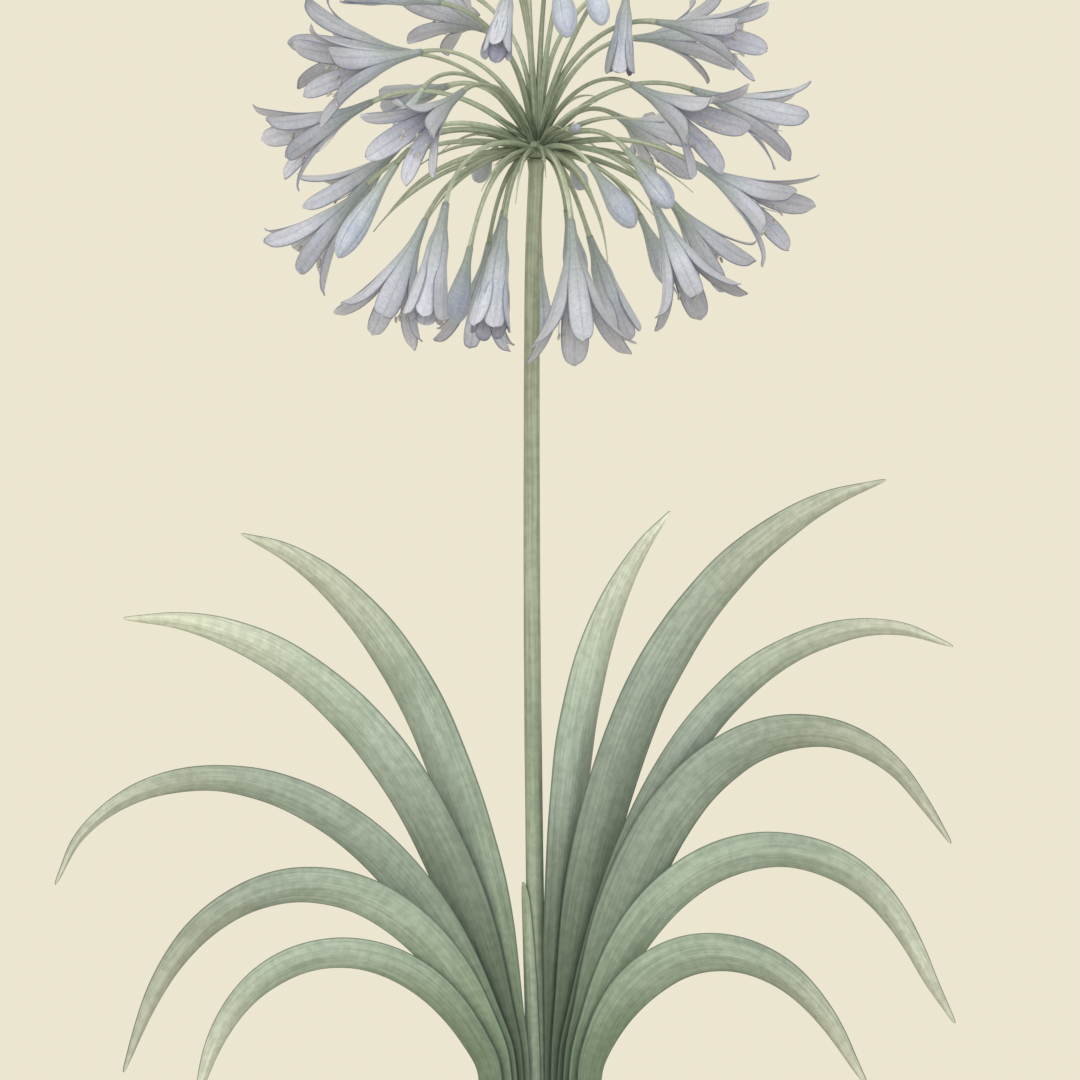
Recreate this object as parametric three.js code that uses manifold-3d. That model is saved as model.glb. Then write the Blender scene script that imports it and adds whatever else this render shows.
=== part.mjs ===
// Agapanthus (African lily) plant in flower, lifted with its root ball.
//
// Units are millimetres and +Z is up. The front of the plant faces -Y, with +X to the right.
// The origin is the middle of the root ball's flat foot, on the surface it stands on.
//
// From the foot up: a root ball of soil and fleshy roots; a short rhizome set in its top; strap
// leaves in a two-ranked fan along X; a bare round flower stem, the scape, with one sheath leaf at
// its foot; and the umbel, a knob on the scape with its stalks, each ending in a floret or a bud.

import * as THREE from 'three';
import { mergeVertices } from 'three/addons/utils/BufferGeometryUtils.js';
import Module from 'manifold-3d';

const wasm = await Module();
wasm.setup();

// ---------------------------------------------------------------------------------------------
// Driving dimensions
// ---------------------------------------------------------------------------------------------

const CLEARANCE = 0.3; // left between pieces that touch

// Root ball, as rings of [radius, height] from the rim of the foot to the middle of the top
const BALL_PROFILE = [[56, 0], [65, 9], [71, 27], [72, 46], [68, 64], [58, 78], [40, 86], [20, 89]];
const BALL_TOP = 90;
const BALL_SIDES = 26;
const BALL_RELIEF = 2.2; // lumps of the soil, each way from the smooth shape

// Fleshy roots down the outside of the ball, as heights that each one passes
const ROOT_COUNT = 16;
const ROOT_HEIGHTS = [82, 70, 52, 34, 18, 11];
const ROOT_HEAD = { share: 0.72, height: 76 }; // start inside the soil, at that share of the first radius
const ROOT_TAIL_SHARE = 0.9; // end inside the soil, at that share of the last point
const ROOT_RADIUS = 2.9;
const ROOT_THINNING = 0.4; // share of the radius lost by the end
const ROOT_SINK = 1.2; // greatest depth of its centre line under the ball's outline
const ROOT_DRIFT = 0.32; // radians that it may wander to one side from height to height
const ROOT_SIDES = 5;
const ROOT_STEPS = 8;

// Rhizome: an oval knob let into the soil, whose flat top carries leaves and scape
const CROWN_HEIGHT = 96;
const CROWN_HALF_LENGTH = 33;
const CROWN_HALF_WIDTH = 13;
const CROWN_DEPTH = 22;
const CROWN_SIDES = 20;
// Rings from its underside to its top, as [share of the full oval, share of the depth]
const CROWN_PROFILE = [[0.7, 1], [0.95, 0.6], [1, 0.36], [1, 0.14], [0.94, 0]];

// Scape, as a slightly bowed rod
const SCAPE_HEIGHT = 419;
const SCAPE_RADIUS_FOOT = 4.3;
const SCAPE_RADIUS_TOP = 3.4;
const SCAPE_BOW = [[0, 0], [95, -1.4], [225, -2.7], [380, -2.2], [SCAPE_HEIGHT, -0.6]];
const SCAPE_SIDES = 12;
const SCAPE_STEPS = 10;

// Umbel
const KNOB_RADIUS = 6;
const KNOB_HEIGHT = 9;
// Outline above the scape's top, as [share of the radius, share of half the height from the middle]
const KNOB_PROFILE = [[0.57, -1], [1, -0.2], [0.8, 0.6]];
const HUB_HEIGHT = CROWN_HEIGHT + SCAPE_HEIGHT + 2 * CLEARANCE + KNOB_HEIGHT / 2;
const STALK_RADIUS = 1.5;
const STALK_FOOT_RADIUS = 1.7;
const STALK_SIDES = 4;
const STALK_STEPS = 6;
const STALK_START = 3; // distance of its start from the umbel's centre
const STALK_NOD = 0.8; // share of a bloom's nod that its stalk starts above the straight line
const STALK_LOWEST_START = -8; // elevation at which the hanging stalks leave the knob
const STALK_STEEPEST_START = 88;
const STALK_FOOT_SHARE = 0.25; // share of its length over which its thicker foot thins
const STALK_PULL = 0.36; // control points of a stalk, as a share of its reach

// Leaves
const LEAF_STEPS = 16;
const LEAF_SUBSTEPS = 6; // shorter strides by which its arch is followed
const LEAF_FOOT_WIDTH = 16;
const LEAF_FOOT_THICKNESS = 1.6;
const LEAF_FOOT_ROLL = 40;
const LEAF_THICKNESS = 1.4; // at the midrib
const LEAF_EDGE = 0.7;
const LEAF_CHANNEL = 0.1; // rise of the edges over the midrib, as a share of the width
const LEAF_TIP_WIDTH = 2;
const LEAF_TAPER_FROM = 0.42; // share of the length

// Shares of the length by which a leaf has its lean, its turn, its full width and its thin blade
const LEAF_LEAN_BY = 0.08;
const LEAF_TURN_BY = 0.35;
const LEAF_WIDE_BY = 0.32;
const LEAF_THIN_BY = 0.3;

// The fan's two sides, from the scape outwards. Each leaf has its foot's distance from the middle
// of the scape, its length, its lean just above the foot, the further bend towards its tip, how
// late that comes (power) and how far it eases off at the tip (ease, past 1 for a tip that lifts
// again), the degrees that its arch turns to the front, its greatest width, how late it tapers
// (taper), and the roll that brings its front edge up, with the share of the length by which it
// is reached.
const LEFT_LEAVES = [
  {
    foot: 8.8, length: 297, lean: 11.5, bend: 62, power: 2.44, ease: -0.14,
    turn: -22, width: 29.5, taper: 2.5, roll: 64, rollBy: 0.36,
  },
  {
    foot: 11.4, length: 299, lean: 15.4, bend: 77, power: 2.11, ease: 0.02,
    turn: -6, width: 24.7, taper: 2.3, roll: 64, rollBy: 0.36,
  },
  {
    foot: 14, length: 296, lean: 22.5, bend: 139, power: 1.88, ease: -0.2,
    turn: 12, width: 19.5, taper: 1.4, roll: 62, rollBy: 0.36,
  },
  {
    foot: 16.6, length: 266, lean: 21.7, bend: 136, power: 1.79, ease: 1.04,
    turn: 24, width: 17.9, taper: 3.2, roll: 62, rollBy: 0.36,
  },
  {
    foot: 20.8, length: 202, lean: 25.1, bend: 141, power: 1.66, ease: 0.94,
    turn: 8, width: 15.8, taper: 2.4, roll: 62, rollBy: 0.36,
  },
];
const RIGHT_LEAVES = [
  {
    foot: 8.4, length: 269, lean: 3, bend: 41, power: 3.3, ease: -0.11,
    turn: -26, width: 30, taper: 2.7, roll: 62, rollBy: 0.6,
  },
  {
    foot: 11, length: 330, lean: 7.6, bend: 67, power: 2.31, ease: 0.09,
    turn: -8, width: 25.4, taper: 2.8, roll: 64, rollBy: 0.42,
  },
  {
    foot: 13.6, length: 302, lean: 14.9, bend: 104, power: 2.57, ease: -0.2,
    turn: 8, width: 17, taper: 2.6, roll: 62, rollBy: 0.36,
  },
  {
    foot: 16.2, length: 290, lean: 17, bend: 126, power: 3.24, ease: 1.4,
    turn: 12, width: 25, taper: 1.5, roll: 62, rollBy: 0.36,
  },
  {
    foot: 18.8, length: 266, lean: 16.9, bend: 127, power: 2.15, ease: 1.8,
    turn: 6, width: 19.5, taper: 2.2, roll: 62, rollBy: 0.36,
  },
  {
    foot: 22.8, length: 193, lean: 14.7, bend: 129, power: 1.51, ease: 1.37,
    turn: 24, width: 20.1, taper: 2.6, roll: 60, rollBy: 0.36,
  },
];

// Sheath leaf: a short blade folded round the left of the scape's foot
const SHEATH_HEIGHT = 94;
const SHEATH_WALL = 0.9;
const SHEATH_MIDDLE = 212; // azimuth of its keel
const SHEATH_WRAP = 150; // degrees of the scape that its foot takes in
const SHEATH_NARROWING = { share: 0.72, power: 3.4 }; // loss of that wrap towards the tip
const SHEATH_LEAN = 1.4; // how far its tip stands off the scape
const SHEATH_LEAN_POWER = 1.6;
const SHEATH_STEPS = 8;
const SHEATH_COLUMNS = 6;

// Blooms: [form, azimuth, elevation, reach, tilt, length]. The foot of a bloom lies at that
// azimuth (degrees from +X, positive to the back), elevation and reach from the umbel's centre,
// and its own axis points the same way round, at the elevation given by tilt; past -90 degrees it
// points back under itself. A bare one is a stalk whose bloom has dropped.
const BLOOMS = [
  // left side, from the top down
  ['half', -163, 55, 79, 8, 46],
  ['open', 155, 36, 76, 7, 54],
  ['open', -157, 37, 70, -13, 54],
  ['bud', -146, 22, 66, -52, 24],
  ['open', -130, 25, 56, -30, 52],
  ['open', -169, 15, 78, -26, 50],
  ['bud', -164, -7, 66, -56, 50],
  ['open', 167, -11, 80, -45, 50],
  ['open', -155, -31, 64, -64, 55],
  ['half', -130, -23, 68, -74, 56],
  ['bud', -139, -49, 60, -74, 36],
  ['half', -111, -40, 52, -68, 56],
  ['bare', -168, -27, 84, -52, 0],
  ['bare', 160, -22, 78, -52, 0],
  // right side, from the top down
  ['open', -21, 44, 80, -10, 48],
  ['open', 16, 21, 78, -18, 52],
  ['open', -34, 28, 58, -27, 54],
  ['bud', -39, -3, 52, -45, 36],
  ['bud', -52, -13, 40, -42, 42],
  ['open', -20, -6, 75, -30, 54],
  ['open', -28, -23, 64, -64, 55],
  ['open', -71, -36, 58, -78, 62],
  ['half', 59, -39, 60, -56, 54],
  ['bare', 20, -28, 92, -58, 0],
  ['bare', 46, -47, 68, -84, 0],
  ['bare', -46, -40, 52, -74, 0],
  ['bare', -34, 12, 54, -12, 0],
  // top
  ['half', -106, 60, 84, -56, 42],
  ['bud', -76, 66, 88, -56, 40],
  ['bud', -56, 64, 88, -60, 30],
  ['half', -33, 56, 86, -96, 40],
  ['open', 172, 68, 74, 34, 48],
  ['open', 12, 68, 76, 36, 48],
  ['bud', 110, 72, 76, 54, 38],
  ['bud', -110, 82, 74, 84, 34],
  // back, from the top down
  ['open', 118, 48, 76, 16, 50],
  ['open', 40, 42, 78, 4, 50],
  ['half', 128, 26, 72, -8, 46],
  ['bud', 90, 26, 60, 4, 28],
  ['open', 60, 14, 76, -14, 50],
  ['open', 148, 2, 74, -36, 48],
  ['bud', 110, 2, 58, -28, 26],
  ['bud', 74, -2, 56, -30, 24],
  ['open', 35, -15, 75, -46, 48],
  ['half', 104, -22, 68, -58, 48],
  ['bud', 76, -24, 62, -54, 40],
  ['open', 122, -45, 58, -74, 48],
  ['bud', 88, -52, 60, -78, 40],
  ['bud', 22, -30, 58, -62, 36],
  // young, close to the knob
  ['bud', -62, 14, 30, 2, 12],
];

const COLOURS = {
  soil: 0x5f4c36, rhizome: 0x9a9a72, leaf: 0x7f8f74, scape: 0x87906f, stalks: 0x8a9272,
  sheath: 0x8f9a7c, floret: 0x9da5cb, bud: 0x8790bd,
};

// ---------------------------------------------------------------------------------------------
// Helpers
// ---------------------------------------------------------------------------------------------

const UP = new THREE.Vector3(0, 0, 1);
const radians = THREE.MathUtils.degToRad;
const smoothstep = THREE.MathUtils.smoothstep;

// Repeatable numbers from 0 to 1
function seededRandom(seed) {
  let state = seed;
  return () => {
    state = (state * 16807) % 2147483647;
    return state / 2147483647;
  };
}

// Unit vector at an azimuth and an elevation in degrees
function direction(azimuth, elevation) {
  const level = Math.cos(radians(elevation));
  return new THREE.Vector3(
    level * Math.cos(radians(azimuth)),
    level * Math.sin(radians(azimuth)),
    Math.sin(radians(elevation)),
  );
}

function indexedGeometry(vertices, triangles) {
  const geometry = new THREE.BufferGeometry();
  const positions = vertices.flatMap((vertex) => vertex.toArray());
  geometry.setAttribute('position', new THREE.Float32BufferAttribute(positions, 3));
  geometry.setIndex(triangles);
  return geometry;
}

// Triangles that close a ring by rungs from one half of it to the other
function rungs(sides) {
  const triangles = [];
  for (let a = 0; a <= (sides - 3) / 2; a++) {
    const [b, c, d] = [a + 1, sides - 2 - a, sides - 1 - a];
    triangles.push([a, b, d]);
    if (b < c) triangles.push([b, c, d]);
  }
  return triangles;
}

// Closed body through rings of as many points each, counter-clockwise seen from the last ring.
// The two halves of a ring are split along matching diagonals, so the faces of a thin twisted
// blade stay parallel.
function loft(rings) {
  const sides = rings[0].length;
  const triangles = [];
  for (let k = 0; k < rings.length - 1; k++) {
    for (let i = 0; i < sides; i++) {
      const next = (i + 1) % sides;
      const a = k * sides + i;
      const b = k * sides + next;
      const c = b + sides;
      const d = a + sides;
      if (i < sides / 2) triangles.push(a, b, c, a, c, d);
      else triangles.push(a, b, d, b, c, d);
    }
  }
  const last = (rings.length - 1) * sides;
  for (const [a, b, c] of rungs(sides)) triangles.push(a, c, b, last + a, last + b, last + c);
  return indexedGeometry(rings.flat(), triangles);
}

// Round rod along a curve, with a radius that depends on the share of the curve's length
function rod(curve, radiusAt, sides, steps) {
  const frames = curve.computeFrenetFrames(steps);
  const rings = frames.tangents.map((_, k) => {
    const centre = curve.getPointAt(k / steps);
    const radius = radiusAt(k / steps);
    return Array.from({ length: sides }, (__, i) => {
      const angle = (2 * Math.PI * i) / sides;
      return centre.clone()
        .addScaledVector(frames.normals[k], radius * Math.cos(angle))
        .addScaledVector(frames.binormals[k], radius * Math.sin(angle));
    });
  });
  return loft(rings);
}

function toSolid(geometry) {
  const bare = geometry.clone();
  bare.deleteAttribute('normal');
  bare.deleteAttribute('uv');
  const merged = mergeVertices(bare, 1e-4);
  return new wasm.Manifold(new wasm.Mesh({
    numProp: 3,
    vertProperties: new Float32Array(merged.attributes.position.array),
    triVerts: new Uint32Array(merged.index.array),
  }));
}

function toGeometry(solid) {
  const mesh = solid.getMesh();
  const geometry = new THREE.BufferGeometry();
  geometry.setAttribute('position', new THREE.BufferAttribute(new Float32Array(mesh.vertProperties), 3));
  geometry.setIndex(new THREE.BufferAttribute(new Uint32Array(mesh.triVerts), 1));
  return geometry;
}

function piece(name, geometry, colour, roughness) {
  const material = new THREE.MeshStandardMaterial({ color: colour, roughness, metalness: 0 });
  const mesh = new THREE.Mesh(geometry, material);
  mesh.name = name;
  return mesh;
}

// ---------------------------------------------------------------------------------------------
// Root ball and rhizome
// ---------------------------------------------------------------------------------------------

// Radius of the ball's smooth outline at a height
function ballRadius(height) {
  const above = BALL_PROFILE.findIndex(([, z]) => z > height);
  const [r1, z1] = BALL_PROFILE[above];
  const [r0, z0] = BALL_PROFILE[above - 1];
  return THREE.MathUtils.mapLinear(height, z0, z1, r0, r1);
}

function soil() {
  const random = seededRandom(11);
  const vertices = [new THREE.Vector3(0, 0, 0)];
  const triangles = [];
  BALL_PROFILE.forEach(([radius, height], k) => {
    const relief = k === 0 ? 0 : BALL_RELIEF;
    for (let i = 0; i < BALL_SIDES; i++) {
      const angle = (2 * Math.PI * (i + (k % 2) / 2)) / BALL_SIDES;
      const lump = radius + relief * (2 * random() - 1);
      const rise = height + relief * (random() - 0.5);
      vertices.push(new THREE.Vector3(lump * Math.cos(angle), lump * Math.sin(angle), rise));
    }
  });
  const top = vertices.push(new THREE.Vector3(0, 0, BALL_TOP)) - 1;
  for (let i = 0; i < BALL_SIDES; i++) {
    const next = (i + 1) % BALL_SIDES;
    triangles.push(0, 1 + next, 1 + i);
    for (let k = 0; k < BALL_PROFILE.length - 1; k++) {
      const a = 1 + k * BALL_SIDES + i;
      const b = 1 + k * BALL_SIDES + next;
      if (k % 2) triangles.push(a, b, b + BALL_SIDES, a, b + BALL_SIDES, a + BALL_SIDES);
      else triangles.push(a, b, a + BALL_SIDES, b, b + BALL_SIDES, a + BALL_SIDES);
    }
    triangles.push(top - BALL_SIDES + i, top - BALL_SIDES + next, top);
  }
  return toSolid(indexedGeometry(vertices, triangles));
}

// Fleshy roots that run down the outside of the soil, half sunk in it
function roots() {
  const random = seededRandom(29);
  return Array.from({ length: ROOT_COUNT }, (_, i) => {
    let azimuth = (2 * Math.PI * (i + random() / 2)) / ROOT_COUNT;
    const drift = ROOT_DRIFT * (random() - 0.5);
    const points = ROOT_HEIGHTS.map((height) => {
      azimuth += drift + (ROOT_DRIFT / 2) * (random() - 0.5);
      const radius = ballRadius(height) - ROOT_SINK * random();
      return new THREE.Vector3(radius * Math.cos(azimuth), radius * Math.sin(azimuth), height);
    });
    points.unshift(points[0].clone().multiplyScalar(ROOT_HEAD.share).setZ(ROOT_HEAD.height));
    points.push(points.at(-1).clone().multiplyScalar(ROOT_TAIL_SHARE));
    const radiusAt = (t) => ROOT_RADIUS * (1 - ROOT_THINNING * t);
    return toSolid(rod(new THREE.CatmullRomCurve3(points), radiusAt, ROOT_SIDES, ROOT_STEPS));
  });
}

// Rhizome, or the hollow that it stands in when grown by a clearance at the sides and below
function crown(grow) {
  const rings = CROWN_PROFILE.map(([share, depth]) => Array.from({ length: CROWN_SIDES }, (_, i) => {
    const angle = (2 * Math.PI * i) / CROWN_SIDES;
    return new THREE.Vector3(
      (share * CROWN_HALF_LENGTH + grow) * Math.cos(angle),
      (share * CROWN_HALF_WIDTH + grow) * Math.sin(angle),
      CROWN_HEIGHT - depth * (CROWN_DEPTH + grow),
    );
  }));
  return loft(rings);
}

function rootBall() {
  let ball = soil();
  for (const root of roots()) ball = ball.add(root);
  return toGeometry(ball.subtract(toSolid(crown(CLEARANCE))));
}

// ---------------------------------------------------------------------------------------------
// Leaves and scape
// ---------------------------------------------------------------------------------------------

// Frame of a leaf at the share t of its length: tangent, across the blade, and upper normal
function leafFrame(side, leaf, t) {
  const turn = radians(leaf.turn) * smoothstep(t, 0, LEAF_TURN_BY);
  const late = t ** leaf.power;
  const bent = THREE.MathUtils.lerp(late, Math.sin((Math.PI / 2) * late), leaf.ease);
  const heading = radians(leaf.lean * smoothstep(t, 0, LEAF_LEAN_BY) + leaf.bend * bent);
  const settled = smoothstep(t, 0, leaf.rollBy);
  const roll = -side * radians(THREE.MathUtils.lerp(LEAF_FOOT_ROLL, leaf.roll, settled));
  const outward = new THREE.Vector3(side * Math.cos(turn), -Math.sin(turn), 0);
  const level = new THREE.Vector3().crossVectors(UP, outward);
  const tangent = outward.clone().multiplyScalar(Math.sin(heading)).addScaledVector(UP, Math.cos(heading));
  const normal = outward.clone().multiplyScalar(-Math.cos(heading)).addScaledVector(UP, Math.sin(heading));
  const across = level.clone().multiplyScalar(Math.cos(roll)).addScaledVector(normal, Math.sin(roll));
  normal.multiplyScalar(Math.cos(roll)).addScaledVector(level, -Math.sin(roll));
  return { tangent, across, normal };
}

// Width of a strap leaf: it widens from the foot and tapers over its outer half
function leafWidth(leaf, t) {
  const blade = THREE.MathUtils.lerp(LEAF_FOOT_WIDTH, leaf.width, smoothstep(t, 0, LEAF_WIDE_BY));
  const taper = 1 - Math.max(0, (t - LEAF_TAPER_FROM) / (1 - LEAF_TAPER_FROM)) ** leaf.taper;
  return LEAF_TIP_WIDTH + (blade - LEAF_TIP_WIDTH) * taper;
}

// Six-sided section of a blade: a shallow channel with thin edges
function bladeSection(centre, { across, normal }, width, thickness, edge, rise) {
  const corner = (side, height) => centre.clone()
    .addScaledVector(across, (side * width) / 2)
    .addScaledVector(normal, height);
  return [
    corner(1, rise + edge / 2), corner(0, thickness / 2), corner(-1, rise + edge / 2),
    corner(-1, rise - edge / 2), corner(0, -thickness / 2), corner(1, rise - edge / 2),
  ];
}

function leafBlade(side, leaf) {
  const centre = new THREE.Vector3(side * leaf.foot, 0, CROWN_HEIGHT + CLEARANCE);
  const strides = LEAF_STEPS * LEAF_SUBSTEPS;
  const rings = [];
  for (let k = 0; k <= LEAF_STEPS; k++) {
    const t = k / LEAF_STEPS;
    const foot = 1 - smoothstep(t, 0, LEAF_THIN_BY);
    const width = leafWidth(leaf, t);
    const thickness = THREE.MathUtils.lerp(LEAF_THICKNESS, LEAF_FOOT_THICKNESS, foot);
    const edge = THREE.MathUtils.lerp(LEAF_EDGE, LEAF_FOOT_THICKNESS / 2, foot);
    const rise = LEAF_CHANNEL * width * (1 - foot);
    rings.push(bladeSection(centre, leafFrame(side, leaf, t), width, thickness, edge, rise));
    for (let j = 0; j < LEAF_SUBSTEPS; j++) {
      const middle = t + (j + 0.5) / strides;
      centre.addScaledVector(leafFrame(side, leaf, middle).tangent, leaf.length / strides);
    }
  }
  return loft(rings);
}

function scapeCurve() {
  const foot = CROWN_HEIGHT + CLEARANCE;
  return new THREE.CatmullRomCurve3(SCAPE_BOW.map(([z, x]) => new THREE.Vector3(x, 0, foot + z)));
}

function scape() {
  const radiusAt = (t) => THREE.MathUtils.lerp(SCAPE_RADIUS_FOOT, SCAPE_RADIUS_TOP, t);
  return rod(scapeCurve(), radiusAt, SCAPE_SIDES, SCAPE_STEPS);
}

function sheathLeaf() {
  const halfFacet = radians(SHEATH_WRAP) / (SHEATH_COLUMNS - 1) / 2;
  const inner = (SCAPE_RADIUS_FOOT + CLEARANCE) / Math.cos(halfFacet);
  const rings = [];
  for (let k = 0; k <= SHEATH_STEPS; k++) {
    const t = k / SHEATH_STEPS;
    const wrap = radians(SHEATH_WRAP) * (1 - SHEATH_NARROWING.share * t ** SHEATH_NARROWING.power);
    const scapeCentre = scapeCurve().getPointAt((t * SHEATH_HEIGHT) / SCAPE_HEIGHT);
    const lean = SHEATH_LEAN * t ** SHEATH_LEAN_POWER;
    const centre = new THREE.Vector3(scapeCentre.x - lean, 0, scapeCentre.z);
    const wall = (radius, flip) => Array.from({ length: SHEATH_COLUMNS }, (_, i) => {
      const share = i / (SHEATH_COLUMNS - 1) - 0.5;
      const angle = radians(SHEATH_MIDDLE) + wrap * (flip ? -share : share);
      return new THREE.Vector3(radius * Math.cos(angle), radius * Math.sin(angle), 0).add(centre);
    });
    rings.push([...wall(inner + SHEATH_WALL, false), ...wall(inner, true)]);
  }
  return loft(rings);
}

// ---------------------------------------------------------------------------------------------
// Umbel
// ---------------------------------------------------------------------------------------------

const HUB = new THREE.Vector3(SCAPE_BOW.at(-1)[1], 0, HUB_HEIGHT);

function bloomPlace([, azimuth, elevation, reach, tilt]) {
  return {
    foot: HUB.clone().addScaledVector(direction(azimuth, elevation), reach),
    axis: direction(azimuth, tilt),
  };
}

// Stalk from the knob to a bloom, arching so that it ends along the bloom's axis
function stalk(bloom) {
  const [, azimuth, elevation, reach, tilt] = bloom;
  const { foot, axis } = bloomPlace(bloom);
  const nodding = elevation + STALK_NOD * (elevation - tilt);
  const rise = THREE.MathUtils.clamp(nodding, STALK_LOWEST_START, STALK_STEEPEST_START);
  const root = direction(azimuth, Math.max(elevation, STALK_LOWEST_START));
  const start = HUB.clone().addScaledVector(root, STALK_START);
  const end = foot.clone().addScaledVector(axis, -CLEARANCE);
  const pull = STALK_PULL * reach;
  const curve = new THREE.CubicBezierCurve3(
    start,
    start.clone().addScaledVector(direction(azimuth, rise), pull),
    end.clone().addScaledVector(axis, -pull),
    end,
  );
  const thinned = (t) => Math.min(1, t / STALK_FOOT_SHARE);
  const radiusAt = (t) => THREE.MathUtils.lerp(STALK_FOOT_RADIUS, STALK_RADIUS, thinned(t));
  return toSolid(rod(curve, radiusAt, STALK_SIDES, STALK_STEPS));
}

function knob() {
  const profile = [[0, -1], ...KNOB_PROFILE, [0, 1]].map(([radius, height]) => (
    new THREE.Vector2(radius * KNOB_RADIUS, (height * KNOB_HEIGHT) / 2)
  ));
  const geometry = new THREE.LatheGeometry(profile, SCAPE_SIDES);
  geometry.rotateX(Math.PI / 2);
  geometry.translate(...HUB.toArray());
  return toSolid(geometry);
}

function stalks() {
  let solid = knob();
  for (const bloom of BLOOMS) solid = solid.add(stalk(bloom));
  return toGeometry(solid);
}

// Floret outline as shares of its length: [height, radius] of the tube and of the lobes' tips
const TUBE = [[0, 0.03], [0.2, 0.045], [0.34, 0.08]];
const SPLIT = [0.5, 0.135];
// A lobe's rings: [height, radius, half width, slope of the midline, outward from the axis]
const LOBE = [[0.66, 0.195, 0.085, 0.35], [0.82, 0.275, 0.098, 0.55], [0.945, 0.36, 0.084, 0.75]];
const LOBE_TIP = [0.995, 0.415];
const LOBE_HALF_THICKNESS = 0.65;
const NARROW_LOBE = 0.84; // width of every second lobe, as a share of the others'
const LOBE_SWAY = 0.06; // radians that a lobe may lie to one side
const LOBE_CURL = 0.08; // share by which it may stand further out or in
const CLEFT_DEPTH = 0.4; // how far the clefts between the lobes are sunk
// Spread of the lobes, with the widths of throat and lobes, as shares of the full ones
const FLARE = {
  open: { spread: 1, throat: 1, breadth: 1 },
  half: { spread: 0.35, throat: 0.7, breadth: 0.82 },
};

// Funnel of six lobes joined below in a tube, standing on its foot with its axis up +Z. Three
// lobes are narrower than the three between them, as sepals are than petals.
function floret(form, length, random) {
  const vertices = [];
  const triangles = [];
  const at = (radius, angle, height) => vertices.push(new THREE.Vector3(
    radius * Math.cos(angle), radius * Math.sin(angle), height,
  )) - 1;
  const quad = (a, b, c, d) => triangles.push(a, b, c, a, c, d);
  const sixth = Math.PI / 3;
  const { spread, throat, breadth } = FLARE[form];
  const either = (range) => range * (2 * random() - 1);
  const centreFoot = at(0, 0, 0);
  const [footRing, neckRing] = TUBE.slice(0, 2).map(([height, radius]) => (
    Array.from({ length: 6 }, (_, k) => at(radius * length, k * sixth, height * length))
  ));
  const belly = Array.from({ length: 12 }, (_, k) => (
    at(TUBE[2][1] * length, (k * sixth) / 2, TUBE[2][0] * length)
  ));
  const splitRadius = SPLIT[1] * length * throat;
  const outer = Array.from({ length: 12 }, (_, k) => (
    at(splitRadius + (k % 2 ? -CLEFT_DEPTH : LOBE_HALF_THICKNESS), (k * sixth) / 2, SPLIT[0] * length)
  ));
  const innerHeight = SPLIT[0] * length + CLEFT_DEPTH;
  const inner = outer.map((corner, k) => (
    k % 2 ? corner : at(splitRadius - LOBE_HALF_THICKNESS, (k * sixth) / 2, innerHeight)
  ));
  const throatFloor = at(0, 0, TUBE[2][0] * length);
  for (let k = 0; k < 6; k++) {
    const next = (k + 1) % 6;
    triangles.push(centreFoot, footRing[next], footRing[k]);
    quad(footRing[k], footRing[next], neckRing[next], neckRing[k]);
    triangles.push(neckRing[k], neckRing[next], belly[2 * k + 1]);
    triangles.push(neckRing[k], belly[2 * k + 1], belly[2 * k]);
    triangles.push(neckRing[next], belly[2 * next], belly[2 * k + 1]);
  }
  for (let k = 0; k < 12; k++) {
    const next = (k + 1) % 12;
    quad(belly[k], belly[next], outer[next], outer[k]);
    triangles.push(throatFloor, inner[k], inner[next]);
  }
  for (let k = 0; k < 6; k++) {
    const narrow = k % 2 ? NARROW_LOBE : 1;
    const sway = either(LOBE_SWAY);
    const curl = 1 + either(LOBE_CURL);
    let section = [outer[(2 * k + 11) % 12], outer[2 * k], outer[2 * k + 1], inner[2 * k]];
    LOBE.forEach(([height, radius, halfWidth, slope], step) => {
      const reach = splitRadius + (radius - SPLIT[1]) * length * spread * curl;
      const angle = k * sixth + sway * (step + 1) / LOBE.length;
      const half = halfWidth * length * narrow * breadth;
      const edge = Math.atan2(half, reach);
      const side = Math.hypot(half, reach);
      const z = height * length;
      const drop = LOBE_HALF_THICKNESS * slope;
      const ring = [
        at(side, angle - edge, z),
        at(reach + LOBE_HALF_THICKNESS, angle, z - drop),
        at(side, angle + edge, z),
        at(reach - LOBE_HALF_THICKNESS, angle, z + drop),
      ];
      for (let i = 0; i < 4; i++) quad(section[i], section[(i + 1) % 4], ring[(i + 1) % 4], ring[i]);
      section = ring;
    });
    const tipReach = splitRadius + (LOBE_TIP[1] - SPLIT[1]) * length * spread * curl;
    const tip = at(tipReach, k * sixth + sway, LOBE_TIP[0] * length);
    for (let i = 0; i < 4; i++) triangles.push(section[i], section[(i + 1) % 4], tip);
  }
  return indexedGeometry(vertices, triangles);
}

// Closed bud: a six-sided club, as rings of [height, radius] shares of its length
const BUD = [[0, 0.045], [0.2, 0.06], [0.42, 0.11], [0.66, 0.165], [0.84, 0.15], [0.95, 0.085], [1, 0.02]];
const BUD_SIDES = 6;
const BUD_LEAST_RADIUS = 0.5;
const BUD_FULL_GIRTH = { length: 33, further: 0.1 }; // girth of longer buds grows by that share only
function bud(length) {
  const girth = Math.min(length, BUD_FULL_GIRTH.length)
    + BUD_FULL_GIRTH.further * Math.max(0, length - BUD_FULL_GIRTH.length);
  return loft(BUD.map(([height, radius]) => Array.from({ length: BUD_SIDES }, (_, i) => {
    const side = Math.max(radius * girth, BUD_LEAST_RADIUS);
    const angle = (2 * Math.PI * i) / BUD_SIDES;
    return new THREE.Vector3(side * Math.cos(angle), side * Math.sin(angle), height * length);
  })));
}

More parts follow.
